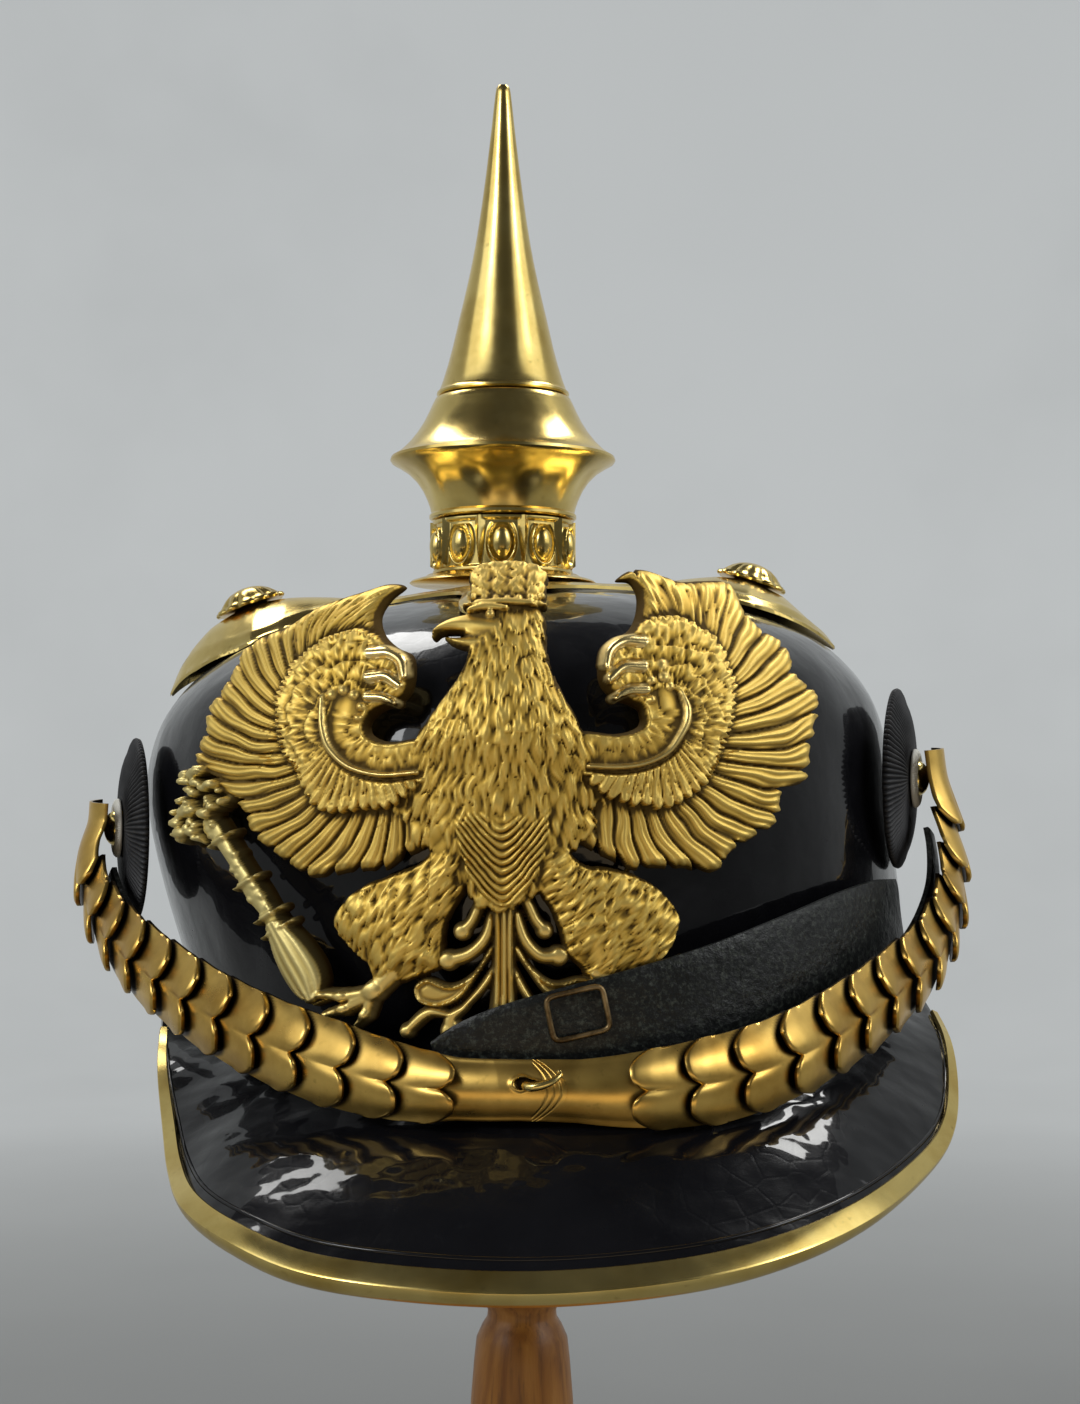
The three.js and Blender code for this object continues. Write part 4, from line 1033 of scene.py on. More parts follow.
RIGHT_WING = [
    (26, 41.4), (
        28.4, 43.6,
    ), (31.5, 44.3), (36, 43), (40, 41.7), (45, 42.2), (51, 42.2), (53, 38), (54.5, 34.5), (58, 31),
    (62, 28.8), (64, 25), (65, 21), (
        68.5, 18.5,
    ), (70, 15.5), (70, 12), (68.5, 9.8), (69, 7), (67.5, 4.5), (67.6, 1),
    (66.5, -2.4), (62, -4.2), (60.5, -6), (60.5, -9.5), (
        58.5, -12.5,
    ), (55, -14.3), (52, -16), (49, -18), (47.5, -20.8),
    (43, -22), (
        40, -20.8,
    ), (36, -20.8), (32, -20.6), (28, -21), (25, -19.3), (20, -16.8), (14, -12), (17, 6), (20, 7),
    (24, 6.2), (28, 6.8), (31, 9), (31, 11.4), (
        28.5, 13.4,
    ), (24.5, 15), (22, 18), (21.8, 23), (24, 27.6), (28, 29.5),
    (30, 33), (30.5, 38), (29, 41),
]
# how far the coverts reach from the wing's middle, by angle from straight out (up is positive)
LEFT_COVERTS = [
    (-150, 20), (-123, 20.2), (-111, 19.8), (-96, 18.6), (-76, 20.1), (-60, 17.9), (-45, 15.6), (-25, 15.4),
    (-4, 15.5), (20, 17), (50, 18), (90, 20), (140, 18),
]
RIGHT_COVERTS = [
    (-150, 20), (-118, 19.2), (-102, 18.4), (-84, 18.1), (-68, 16.2), (-50, 15.6), (-32, 14.2), (-12, 14.3),
    (4, 15), (24, 17), (45, 19.8), (58, 22), (80, 23), (140, 20),
]


ALL = np.s_[:, :]


def lay_wing(relief, outline, middle, side, coverts, twist, widths, seed):
    """One wing: primaries fanned from its middle, with rows of short coverts over their roots."""
    x, z = relief.x, relief.z
    near = inside_of(x, z, outline)

    def polar(px, pz):
        dx, dz = side * (px - middle[0]), pz - middle[1]
        return np.hypot(dx, dz), np.degrees(np.arctan2(dz, dx))

    r, angle = polar(x, z)
    angle = np.where(angle < -160, angle + 360, angle)
    reach_cover = table_value(coverts, angle) + 0.5 * value_noise(x, z, 2.5, seed)
    turn = angle - table_value(twist, angle) * (r - 18) + 1.3 * value_noise(x, z, 5, seed + 1)
    out_r, out_angle = polar(*np.array(outline, float).T)
    keep = (out_r > 24) & (out_angle > -140)
    order = np.argsort(out_angle[keep])
    outer = np.interp(angle, out_angle[keep][order], out_r[keep][order])

    # primaries: each a rounded blade with three or four barbs that run out to its lobed tip
    steps = np.linspace(-180, 240, 841)
    count = np.concatenate([[0], np.cumsum(0.5 / table_value(widths, steps[:-1]))])
    lane = np.interp(turn, steps, count)
    number = np.floor(lane)
    c = (lane - number) * 2 - 1
    share = np.clip((r - reach_cover) / np.maximum(outer - reach_cover, 1), 0, 1.2)
    lobed = smoothstep(angle, 75, 40)
    tip = 2.9 * np.abs(c) ** 2.4 * lobed
    inside = np.minimum(near, outer - tip - r + 0.6 * lobed + 4 * (1 - lobed))
    inside = np.where(r < reach_cover, near, inside)
    drift = 0.9 * value_noise(number * 3.7 + c, r, 5.5, seed + 2)
    barbs = 0.5 + 0.5 * np.cos(pi * (3.2 * c * (1 - 0.15 * share) + drift))
    broken = 0.75 + 0.35 * value_noise(number * 5.1 + 2 * c, r, 3.2, seed + 3)
    rim = 0.45 * bell(outer - tip - r, -0.2, 0.6)
    primary = 0.65 + 1.15 * rounded(c, 2.6) + 0.46 * barbs**0.8 * broken + 0.45 * share + 0.22 * c + rim
    hair = 1.0 + 1.3 * strands(lane * 4.4, r, 1.3, 8, seed + 4) + 0.5 * share
    height = lerp(hair, primary, lobed)

    # coverts: lobed below, short plumes in rows above
    big = smoothstep(angle, -30, -52)
    cover_lane = np.interp(angle - 0.6 * (r - 14), steps, count) * lerp(2.0, 1.3, big) + 0.35
    cc = (cover_lane - np.floor(cover_lane)) * 2 - 1
    cover_tip = reach_cover - 1.3 * np.abs(cc) ** 2
    rows = (r + 1.2 * value_noise(x, z, 2.2, seed + 5)) / 4.2
    step_up = rows - np.floor(rows)
    short = 2.0 + 0.055 * r + 0.35 * step_up
    short = short + 1.15 * strands(np.radians(angle) * 15, r, 1.35, 4.2, seed + 6)
    plume = 2.3 + 0.055 * r + 0.55 * rounded(cc, 2.2) + 0.8 * strands(cover_lane * 4.2, r, 1.3, 6, seed + 7)
    height = lerp(height, lerp(short, plume, big), smoothstep(cover_tip - r, -0.15, 0.45))
    height = height * lerp(0.6, 1, smoothstep(near, 0, 2.2))
    relief.lay(ALL, np.maximum(inside, -3), np.where(inside > -0.5, height, 0), 0.08 * lobed)


def round_stroke(points, width, end):
    """Rows for a stroke through the points, from one width to another."""
    n = len(points) - 1
    return [(px, pz, lerp(width, end, k / n)) for k, (px, pz) in enumerate(points)]


BOW_WIDTH = 8.6


def lay_inner_wing(relief, ring, bow, rolls, knots, seed):
    """The wing's feathered bow between a thin ring and the rolled edge of the opening."""
    where, x, z = relief.window(bow, BOW_WIDTH)
    inside, along, across = sdf_stroke(x, z, round_stroke(bow, BOW_WIDTH, BOW_WIDTH))
    ground = strands(along, across * BOW_WIDTH / 2, 1.25, 4.5, seed)
    lip = 0.55 * bell(np.abs(across), 0.86, 0.08)
    relief.lay(where, inside, 2.0 + 0.7 * rounded(across) + 0.75 * ground + lip, 0.05, over=True)
    relief.stroke(ring, 1.5, 3.0, polish=0.6)
    for points, width in rolls:
        relief.stroke(round_stroke(points, width, width * 0.8), 2.6, 1.6, polish=1.0, over=True)
    for kx, kz, kr in knots:
        relief.dome(kx, kz, kr, 1.6, 2.6, 0.3)


BODY = [
    (-5.2, 24.5), (-6.8, 20), (
        -9.3, 16.5,
    ), (-12.2, 12), (-15, 8), (-17, 3), (-18.5, -3), (-18, -9), (-14.5, -15), (-9, -21),
    (-4, -26), (
        1.6, -29,
    ), (7, -26), (13, -20), (18, -14), (21, -8), (21.5, -2), (20.5, 4), (18, 8.5), (16, 12.5), (13.8, 16.5),
    (12, 20), (10.8, 25), (10.6, 30), (9.6, 34), (6, 36.5), (1, 37), (-3.5, 36), (-5.8, 33), (-6, 28.5),
]


def lay_body(relief):
    """Breast, neck and feathered head: a low swelling plate of fine plumes that fan from the crown."""
    x, z = relief.x, relief.z
    fan = np.arctan2(
        x - 2.6, 50 - z,
    ) + 0.012 * value_noise(x, z, 4, 20)  # the plumes' lines meet over the crown
    run = np.hypot(x - 2.6, 50 - z)
    reach = run + 4 * value_noise(x, z, 3, 23)
    neck = strands(fan * 20, run, 1.1, 5.0, 21)
    breast = strands(fan * 35, run, 1.15, 5.5, 22)
    flank = strands(fan * 52, run, 1.2, 6.0, 24)
    ground = np.where(reach < 25, neck, np.where(reach < 42, breast, flank))
    loose = smoothstep(z, 8, -2)
    ragged = (0.9 + 1.6 * loose) * (ground - 0.6)
    near = inside_of(x, z, BODY) + ragged + 1.6 * loose * value_noise(x, z, 4, 19)
    swell = (2.6 - 0.9 * loose) * swelling(near, lerp(3.0, 6.0, loose))
    swell = swell + 1.3 * bell(x, 2.2, 9) * smoothstep(z, 30, 5)
    # the belly is a rounded shield of nested lines that rise out of the plumes
    bx, bz = np.abs(x - 2.0), z + 7.5
    shield = np.where(bz < 0, 9.4 * rounded(bz / 20.5), 9.4 - 0.10 * bz**2)
    belly = smoothstep(shield - bx, -0.3, 0.9) * smoothstep(z + 2.5 * value_noise(x, z, 2.0, 18), -8, -12)
    nested = z - 1.35 * (np.sqrt(bx**2 + 3) - 1.7) + 0.3 * value_noise(x, z, 2.5, 25)
    lines = (0.5 + 0.5 * np.cos(nested * 2 * pi / 1.75)) ** 0.7
    lines = lines * (0.8 + 0.25 * value_noise(x, z, 1.6, 17))
    ground = lerp(ground, 0.1 + 0.85 * lines, belly)
    relief.lay(ALL, near, 1.6 + swell + 1.25 * ground + 0.7 * belly, 0.03)


def lay_head(relief):
    """An open beak with two grooves, a brow, an eye and the line under the crown."""
    upper = [(-1.5, 30.2, 6.4), (-5.5, 30.6, 4.8), (-9, 30.2, 3.4), (-11.6, 29, 2.0), (-12.4, 27.6, 0.9)]
    lower = [(-1.5, 26.8, 4.6), (-5, 26.6, 3.4), (-8, 26.9, 2.2), (-9.8, 27.6, 1.0)]
    relief.stroke(upper, 1.9, 3.2, 2, 0.12)
    relief.stroke(lower, 1.5, 2.8, 2, 0.12)
    relief.stroke([(-4.8, 33.2, 1.4), (-1.6, 34.0, 1.9), (2.4, 33.6, 1.4)], 1.1, 5.2, polish=0.1)
    relief.dome(-0.6, 32.4, 1.0, 0.9, 5.2, 0.3)
    relief.stroke([(-6, 34.6, 1.5), (2.6, 35.2, 1.7), (10.4, 34.6, 1.5)], 1.0, 4.6, polish=0.12)


def lay_crown(relief):
    """A closed crown, struck so densely with arches and knobs that little of its ground shows."""
    where, x, z = relief.window([(-8, 34), (13, 48)], 1)
    knobbed = plumes(x + 0.8 * value_noise(x, z, 1.8, 27), z + value_noise(x, z, 2.2, 28), 1.5, 2.4, 26)
    outline = [
        (-4.6, 35), (-5.2, 39), (-5.4, 42), (-3.2, 44.2), (2.8, 45.2), (8.6, 44.2), (11, 42), (10.8, 39),
        (10.2, 35), (2.8, 34.2),
    ]
    cap = inside_of(x, z, outline) + 0.7 * (knobbed - 0.6)
    ribs = np.abs(np.sin((x - 2.8) / (0.9 + 0.02 * (z - 35)) * 0.9))
    relief.lay(where, cap, 2.6 + 1.4 * swelling(cap, 1.6) + 0.9 * knobbed + 0.4 * ribs, 0.05)
    for k in range(7):
        relief.dome(-4.2 + 2.3 * k, 36.4 - 0.5 * sin(pi * k / 6), 0.8, 0.7, 4.5, 0.15)
    for k in range(5):
        relief.dome(-3.0 + 2.9 * k, 43.2 + 0.8 * sin(pi * k / 4), 1.0, 0.9, 3.9, 0.15)


LEFT_LEG = [
    (-10, -14), (
        -14.5, -19,
    ), (-20, -21.5), (-27, -24.5), (-31, -28), (-32.8, -31), (-31.4, -35), (-28, -38.7), (-25.4, -41),
    (-24, -44.5), (
        -19.6, -44.5,
    ), (-14, -42.6), (-10.4, -41), (-9.8, -38), (-9.6, -33), (-8, -29), (-5, -24), (-4, -18),
]
RIGHT_LEG = [
    (12, -13), (
        18, -19.5,
    ), (24, -20.5), (30, -22.5), (35, -26), (37.8, -30), (37.4, -34), (35.5, -38), (31, -41.5), (27, -43.2),
    (23.5, -44.3), (19.5, -43.6), (17.6, -41), (14.6, -38), (13.6, -34), (11.6, -29), (9, -25), (7, -18),
]


def lay_leg(relief, outline, lie, seed):
    """A thigh of fine plumes: lie is the way they point, in degrees from straight down, at its two sides."""
    where, x, z = relief.window(outline, 2)
    (low, _), (high, _) = np.min(outline, axis=0), np.max(outline, axis=0)
    ease = smoothstep((x - low) / (high - low) + 0.12 * value_noise(x, z, 6, seed), 0.25, 0.75)

    def plumed(degrees):
        c, s = cos(radians(degrees)), sin(radians(degrees))
        u = x * c + z * s + 0.8 * value_noise(x, z, 5, seed + 1)
        return strands(u, -z * c + x * s, 1.15, 5.5, seed + 2)

    ground = np.where(ease >= 0.5, plumed(lie[1]), plumed(lie[0]))
    near = inside_of(x, z, outline) + 0.5 * (ground - 0.6)
    rim = 0.6 * bell(near, 0.5, 0.5)
    folds = 0.5 * value_noise(x, z, 5.5, seed + 3)
    relief.lay(where, near, 1.0 + 3.0 * swelling(near, 3.0) + 1.3 * ground + rim + folds, 0.03)


def lay_tail(relief):
    curls = [
        [(-1.2, -25, 2.6), (-2.8, -28, 2.8), (-4.4, -31.4, 2.8), (-6.2, -33.4, 3.4)],
        [(5.4, -25, 2.6), (7.2, -28, 2.8), (8.6, -31, 2.8), (10.4, -33.2, 3.2)],
        [(0.0, -30, 2.8), (-1.6, -34.8, 3.0), (-4.8, -38, 3.2), (-9.0, -39.4, 3.8)],
        [(4.6, -30, 2.8), (6.6, -35.4, 3.0), (9.6, -38.4, 3.2), (13.2, -38.4, 3.8)],
        [(0.6, -41, 2.4), (-3.4, -46.4, 2.2), (-8.0, -50.4, 2.0), (-12.8, -50.2, 3.0), (-17.4, -54.2, 3.0)],
        [(3.8, -41, 2.4), (7.4, -47.4, 2.4), (11, -51, 2.6), (14.4, -53.4, 3.2)],
        [(-5.6, -49, 2.2), (-8.4, -51.4, 3.4), (-8.2, -54.0, 4.4)],
    ]
    for rows in curls:
        relief.stroke(rows, 1.9, 1.0, polish=0.18)
        px, pz, width = rows[-1]
        relief.dome(px, pz, width * 0.62, 1.3, 1.7, 0.25)
    # the third leaf on each side is broad, with a raised line round a hollow face
    for outline in (
        [
            (1.0, -36), (-2.6, -42), (-6.4, -47.4), (-11, -49.4), (-15.4, -48.2), (-16.2, -45),
            (-13.4, -42.8), (-8.6, -44.2), (-4.0, -41.6), (-0.4, -36),
        ],
        [
            (3.4, -36), (7.0, -42), (11.0, -47), (15.6, -48.6), (20.0, -46.0), (20.6, -43.4), (17.4, -42.6),
            (12.4, -43.6), (8.0, -40.4), (5.0, -36),
        ],
    ):
        where, x, z = relief.window(outline, 2)
        near = inside_of(x, z, outline)
        relief.lay(where, near, 1.6 + 1.5 * bell(near, 0.7, 0.5) + 0.5 * smoothstep(near, 1, 2.5), 0.18)
    stem = [(2.2, -24, 5.6), (2.2, -32, 5.2), (2.2, -42, 5.4), (2.2, -48, 6.0), (2.2, -52.6, 7.0)]
    relief.stroke(stem, 1.6, 1.8, 4, 0.15, over=True, depth=0.9)


def lay_feet(relief):
    toes = [
        [(-21, -43, 5.0), (-24, -46, 4.6), (-27.5, -48, 4.0)],
        [(-26, -46.6, 3.4), (-30.5, -47.4, 3.2), (-34.5, -47.2, 2.4), (-37.6, -49, 1.5)],
        [(-26, -48, 3.4), (-30, -50, 3.2), (-33.6, -51.4, 2.6), (-36, -53.6, 1.5)],
        [(-24.5, -47.6, 3.4), (-25.6, -51, 3.0), (-28, -53.8, 1.6)],
        [(21.6, -42.6, 5.0), (25, -44.6, 4.6), (28, -45.2, 4.0)],
        [(26.6, -43.6, 3.4), (31, -42.4, 3.0), (35.4, -41.2, 2.4), (39.4, -39.4, 1.5)],
        [(27, -45.6, 3.4), (31, -46.6, 3.0), (34.6, -46.8, 2.2), (37.4, -48.4, 1.4)],
        [(25, -45.4, 3.4), (27, -48.6, 3.0), (28.6, -51.6, 1.6)],
    ]
    for rows in toes:
        relief.stroke(rows, 2.2, 1.6, polish=0.3)
        for px, pz, w in rows[1:-1]:
            relief.dome(px, pz, w * 0.56, 1.4, 2.9, 0.4)


def lay_sceptre(relief):
    grip = [(-37.2, -47.0, 5.2), (-38.8, -43.6, 9.4), (-41.2, -39.6, 9.2), (-44.0, -34.8, 6.2)]
    relief.stroke(grip, 3.0, 1.0, 5, 0.1, depth=0.25)
    for k in range(3):
        claw = [(-38.6 + 1.1 * k, -48.4 - 0.5 * k, 1.3), (-34.8 + 1.1 * k, -46.6 - 0.5 * k, 1.3)]
        relief.stroke(claw, 1.5, 2.2, polish=0.15)
    shaft = [
        (-43.6, -35.4, 5.6), (-47, -30.2, 4.6), (-50, -26.3, 5.4), (-53, -21.8, 4.2), (-56.5, -16.8, 4.4),
        (-59.7, -12.6, 5),
    ]
    relief.stroke(shaft, 2.2, 1.0, polish=0.05)
    ax, az = -0.56, 0.83  # the way the shaft points
    for px, pz, w in [(-44.4, -34.0, 7.4), (-46.4, -31.0, 6.6), (-51.4, -24.2, 6.0), (-57.6, -15.2, 6.2)]:
        collar = [(px - az * w / 2, pz + ax * w / 2, 1.7), (px + az * w / 2, pz - ax * w / 2, 1.7)]
        relief.stroke(collar, 1.5, 2.3, polish=0.2)
    chance = np.random.default_rng(31)
    path = Route(catmull(shaft, 8))
    for at in np.arange(1.0, path.length, 1.25):
        px, pz = path.point(at)[:2] + chance.uniform(-1.5, 1.5, 2)
        relief.dome(px, pz, chance.uniform(0.8, 1.4), 0.9, 2.4, 0.1, chance.uniform(0.8, 1.3))
    # the ornate head is a thick bunch of knobs and leaf tips with dark gaps between them
    head = [
        (-70.4, -11.2), (
            -71.0, -7.2,
        ), (-67.9, -5.4), (-68.6, -1.2), (-65.0, 0.4), (-62.0, 0.9), (-60.2, -2.0), (-56.6, -2.2),
        (-55.2, -6.2), (-57.6, -8.6), (
            -58.8, -11.2,
        ), (-58.2, -14), (-62.2, -16.6), (-67.6, -16.2), (-70.4, -14.2),
    ]
    where, x, z = relief.window(head, 2)
    near = inside_of(x, z, head) + 0.7 * value_noise(x, z, 1.5, 32)
    relief.lay(where, near, 1.1 + 0.4 * value_noise(x, z, 1.2, 33), 0.0)
    for _ in range(90):
        px, pz = chance.uniform(-71, -55.4), chance.uniform(-16.6, 0.8)
        if sdf_polygon(np.array([px]), np.array([pz]), head)[0] > 0.2:
            relief.dome(
                px, pz, chance.uniform(0.8, 1.6), 1.5, chance.uniform(1.3, 3.4), 0.15,
                chance.uniform(0.7, 1.4),
            )


def blurred(values, weight, reach):
    """A box blur over metal only, run twice along each side."""
    box = 2 * reach + 1

    def run(a):
        for axis in (0, 0, 1, 1):
            padded = np.pad(a, [(reach + 1, reach) if k == axis else (0, 0) for k in (0, 1)], mode="edge")
            total = np.cumsum(padded, axis=axis)
            size = total.shape[axis]
            a = (np.take(total, range(box, size), axis) - np.take(total, range(size - box), axis)) / box
        return a

    return run(values * weight) / np.maximum(run(weight), 1e-6)


EAGLE_STEP = 0.29
EAGLE_CUTS = [-12.5, 15.5]  # where one struck plate is cut into three meshes, for its fineness
WINGS = (
    # outline, middle, side, coverts' reach; by angle from straight out, the twist of its primaries and
    # their widths in degrees; then the ring, the bow, the rolls, the knots of its inner part, and seeds
    (
        LEFT_WING, (-29, 10), -1, LEFT_COVERTS,
        [(-120, 1.25), (-60, 1.2), (0, 1.1), (50, 1.5), (90, 2.4), (130, 2.8)],
        [(-180, 9), (-60, 8.8), (0, 8.4), (60, 8), (90, 7), (240, 7)],
        [
            (-34.4, 15.5, 1.0), (-34.2, 9, 1.7), (-33, 5, 1.8), (-30, 1.6, 1.6), (-27, 0, 1.4),
            (-22, -1, 1.3), (-15, -0.5, 1.2),
        ],
        [(-29.4, 12), (-30.2, 9), (-29, 5), (-25.5, 2.4), (-21, 1.6), (-15, 2.4)],
        [
            ([(-24.4, 24.6), (-21.2, 24.6), (-18.6, 22.8), (-17.8, 20)], 3.2),
            ([(-24.6, 19.4), (-21.6, 19.6), (-19, 17.8)], 3.0),
            ([(-24.8, 15.2), (-22, 15.0), (-19.6, 13.8)], 2.6),
        ],
        [(-32.6, 15.8, 1.3), (-30.2, 16.6, 1.2), (-28, 15.6, 1.2), (-26.4, 13.2, 1.1), (-27, 10.8, 1.0)],
        60, 46,
    ),
    (
        RIGHT_WING, (34, 10), 1, RIGHT_COVERTS,
        [(-120, 1.3), (-80, 1.25), (-20, 0.85), (20, 0.6), (60, 0.5), (90, 0.9), (130, 1.5)],
        [(-180, 9.5), (-90, 10), (-40, 11), (20, 10.5), (60, 9), (90, 8), (240, 8)],
        [
            (37.6, 16, 1.0), (38.8, 13, 1.7), (38.6, 10, 1.9), (36.8, 6.6, 1.7), (34.4, 3.6, 1.4),
            (30, 1.4, 1.3), (25, 0.6, 1.3), (19, 0.8, 1.2),
        ],
        [(34.4, 13), (34.8, 10), (33.4, 6.4), (30, 4.2), (25, 3.2), (19, 3.8)],
        [
            ([(29.5, 27), (26, 27), (23.4, 25), (22.6, 22)], 3.2),
            ([(29.5, 21.6), (26, 21.4), (23.4, 19)], 3.0),
            ([(30, 16.6), (26.8, 16.4), (24.4, 14.8)], 2.8),
        ],
        [(33.8, 22, 1.4), (34.2, 19.4, 1.4), (35.4, 17.4, 1.1), (31.6, 18.6, 1.1), (31.6, 14.6, 1.0)],
        80, 47,
    ),
)


def make_eagle():
    relief = Relief(-73, 73, -58, 51, EAGLE_STEP)
    for outline, middle, side, coverts, twist, widths, *_, seed, _ in WINGS:
        lay_wing(relief, outline, middle, side, coverts, twist, widths, seed)
    for *_, ring, bow, rolls, knots, _, seed in WINGS:
        lay_inner_wing(relief, ring, bow, rolls, knots, seed)
    relief.dulling = 0.3
    lay_tail(relief)
    lay_feet(relief)
    relief.dulling = 0.0
    lay_leg(relief, LEFT_LEG, (-18, -38), 41)
    lay_leg(relief, RIGHT_LEG, (-50, -42), 43)
    relief.dulling = 0.8
    lay_sceptre(relief)
    relief.dulling = 0.0
    lay_body(relief)
    lay_head(relief)
    lay_crown(relief)

    field = relief.field
    metal = (field > 0).astype(float)
    height = relief.height * lerp(0.35, 1, smoothstep(field, -0.05, 1.0))
    local = blurred(height, metal, 4)
    wide = blurred(height, metal, 12)
    # painted shade and patina: points lying below their blurred surroundings get darker gilding
    hollow = np.clip(0.36 + (local - height) * 1.7 + (wide - height) * 0.22, 0, 1)

    cuts = [0, *np.searchsorted(relief.x[0], EAGLE_CUTS), relief.x.shape[1] - 1]
    for name, first, last in zip(("left", "middle", "right"), cuts[:-1], cuts[1:]):
        part = np.s_[:, first : last + 1]
        rise = height[part]

        def front(px, pz, used):
            return eagle_place(px, pz, EAGLE_FACE + np.maximum(rise[used], 0))

        def back(px, pz, used):
            return eagle_place(px, pz, np.full(px.shape, EAGLE_BACK))

        points, faces, used = relief_mesh(relief.x[part], relief.z[part], field[part], front, back)
        values = {"cavity_shade_and_patina": hollow, "polish": relief.polish, "dull": relief.dull}
        attributes = {key: np.tile(value[part][used], 2) for key, value in values.items()}
        name = f"eagle_struck_plate_{name}"
        add_mesh(name, points, faces, [GILT], ["eagle_plate"], 80, attributes=attributes)


# ------------------------------------------------------------------ chinscales
BAND_HALF_WIDTH = 102.5
BAND_FRONT = 111.5
BAND_LINE = [
    # turn in degrees, height, extra standing off
    (-71.3, -7.5, 0.8), (-71.5, -13, 1.2), (-71, -20, 3.5), (
        -68.5, -28.5, 4.6,
    ), (-64, -36, 4.2), (-56, -43, 2.8), (-49, -48, 1.4), (-42, -52.5, 0.6),
    (
        -28, -59.5, 0.2,
    ), (-14, -64.5, 0.2), (0, -65, 0.6), (10, -65, 2.4), (20, -63, 3.3), (28, -59.5, 3.3), (40, -53, 0.6),
    (49, -47.5, 0), (56, -43, 0.4), (62, -37, 1.2), (
        67, -29.5, 2.2,
    ), (70, -20, 2.6), (71.5, -10, 1.6), (71.5, -2, 0.8), (71.3, 5, 0.6),
]


def band_route():
    points = []
    for turn, z, off in BAND_LINE:
        x = SHELL_X + RIM_SHIFT * smoothstep(-z / WALL_DROP) + (BAND_HALF_WIDTH + off) * sin(radians(turn))
        points.append((x, -(BAND_FRONT + off) * cos(radians(turn)), SIGHT + z))
    return Route(catmull(points, 30))


BAND = band_route()
MIDDLE = BAND.at[np.argmin(np.abs(BAND.points[:, 0]))]
# the scales' width by how far they are from the middle
BAND_WIDTHS = [(0, 12.6), (12, 13), (24, 15.5), (40, 17.6), (100, 17.4), (135, 16.4), (170, 14)]
SCALE_PITCH, SCALE_LENGTH, SCALE_WALL, SCALE_ARCH = 10.9, 16.5, 0.8, 3.0
CLASP_LEFT, CLASP_RIGHT = -12.0, 22.0  # where the scales start, from the middle
BACKING_START, BACKING_HALF_WIDTH = 20, 5.5  # from the ends of the route, and its half width
BACKING_TOP, BACKING_BOTTOM = -0.45, -1.6


def band_frame(length):
    """The route's place at a length along it, and its ways along, outwards and across."""
    length = np.asarray(length, float)
    o = BAND.point(length)
    along = BAND.tangent(length)
    out = unit(xyz(o[..., 0] / BAND_HALF_WIDTH**2, o[..., 1] / BAND_FRONT**2, np.zeros_like(length)))
    out = across_to(out + np.array([0, 0, 0.1]), along)
    across = unit(np.cross(out, along))
    beyond = (length - np.clip(length, 0, BAND.length))[..., None]
    return o + along * beyond, along, out, across


def band_point(length, out, across):
    o, _, outward, sideways = band_frame(length)
    return o + outward * np.asarray(out)[..., None] + sideways * np.asarray(across)[..., None]


def band_width(length):
    return table_value(BAND_WIDTHS, np.abs(np.asarray(length) - MIDDLE))


def lobe_reach(side):
    """How far two rounded lobes, side by side, reach along a scale."""
    off = (np.abs(side) - 0.5) / 0.5
    return 1 - np.where(off < 0, 0.17, 0.27) * np.abs(off) ** 2.6


def make_scale(number, tip, way, length, covered):
    """A scale of two rounded lobes; length is how far it reaches back from its tip."""
    share, side = share_and_side(30, 45, 0.85)
    reach = SCALE_LENGTH * share * lerp(1, lobe_reach(side), smoothstep(share, 0.2, 1))
    behind = (1 - share) * (length - SCALE_LENGTH)
    at = tip + way * (reach - SCALE_LENGTH - behind)
    rise = (SCALE_WALL + GAP) * (SCALE_LENGTH / SCALE_PITCH) * 1.1
    arch = SCALE_ARCH * (1 - np.abs(side) ** 2.2)
    under = 1.2 + rise * reach / SCALE_LENGTH + arch + 0.35 * smoothstep(share, 0.6, 1)
    # each lobe is a little cushion, with a crease between them that fades towards the root
    cushion = 0.65 * (1 - ((np.abs(side) - 0.48) / 0.52) ** 2) * smoothstep(share, 0.3, 0.8)
    crease = -0.35 * bell(side, 0, 0.07) * smoothstep(share, 0.55, 0.95)
    rounding = -0.35 * smoothstep(share, 0.965, 1.0)
    across = side * band_width(at) / 2 * (1 + 0.03 * smoothstep(share, 0.4, 0.9))
    top = band_point(at, under + SCALE_WALL + cushion + crease + rounding, across)
    # painted shade, with some dirt, darkens the scale along the neighbour's edge, where its tip stands over
    # this one
    past = reach - (SCALE_LENGTH * lobe_reach(side) - SCALE_PITCH)
    edge_shade_and_dirt = (1 - smoothstep(past, 0.4, 2.1)) * covered
    points, faces = plate_skin(top, band_point(at, under, across))
    # painted shade: the underside is dark all over, and the edges darken towards it
    shade_and_grime = {"shade_and_grime": np.concatenate([edge_shade_and_dirt.ravel(), np.ones(edge_shade_and_dirt.size)])}
    name, node = f"lobed_scale_{number}", f"scale_{number}"
    add_mesh(name, points, faces, [SCALE_BRASS], [node], 50, attributes=shade_and_grime)


def make_scales():
    for label, way, first, end, count in (
        ("left", 1, MIDDLE + CLASP_LEFT, 0, 12),
        ("right", -1, MIDDLE + CLASP_RIGHT, BAND.length, 13),
    ):
        for i in range(count):
            tip = first - way * i * SCALE_PITCH
            last = i == count - 1
            make_scale(f"{label}_{i + 1:02d}", tip, way, abs(tip - end) if last else SCALE_LENGTH, not last)


# the slot in the clasp, a shallow pit with painted shade on its floor, from the middle of the band: along,
# across, half length, half height
SLOT_AT, SLOT_ACROSS, SLOT_LENGTH, SLOT_HEIGHT = 2.2, 1.5, 2.6, 1.05
CLASP_CUTS = (1.1, 2.5, 3.9)  # engraved lines, from the clasp's end


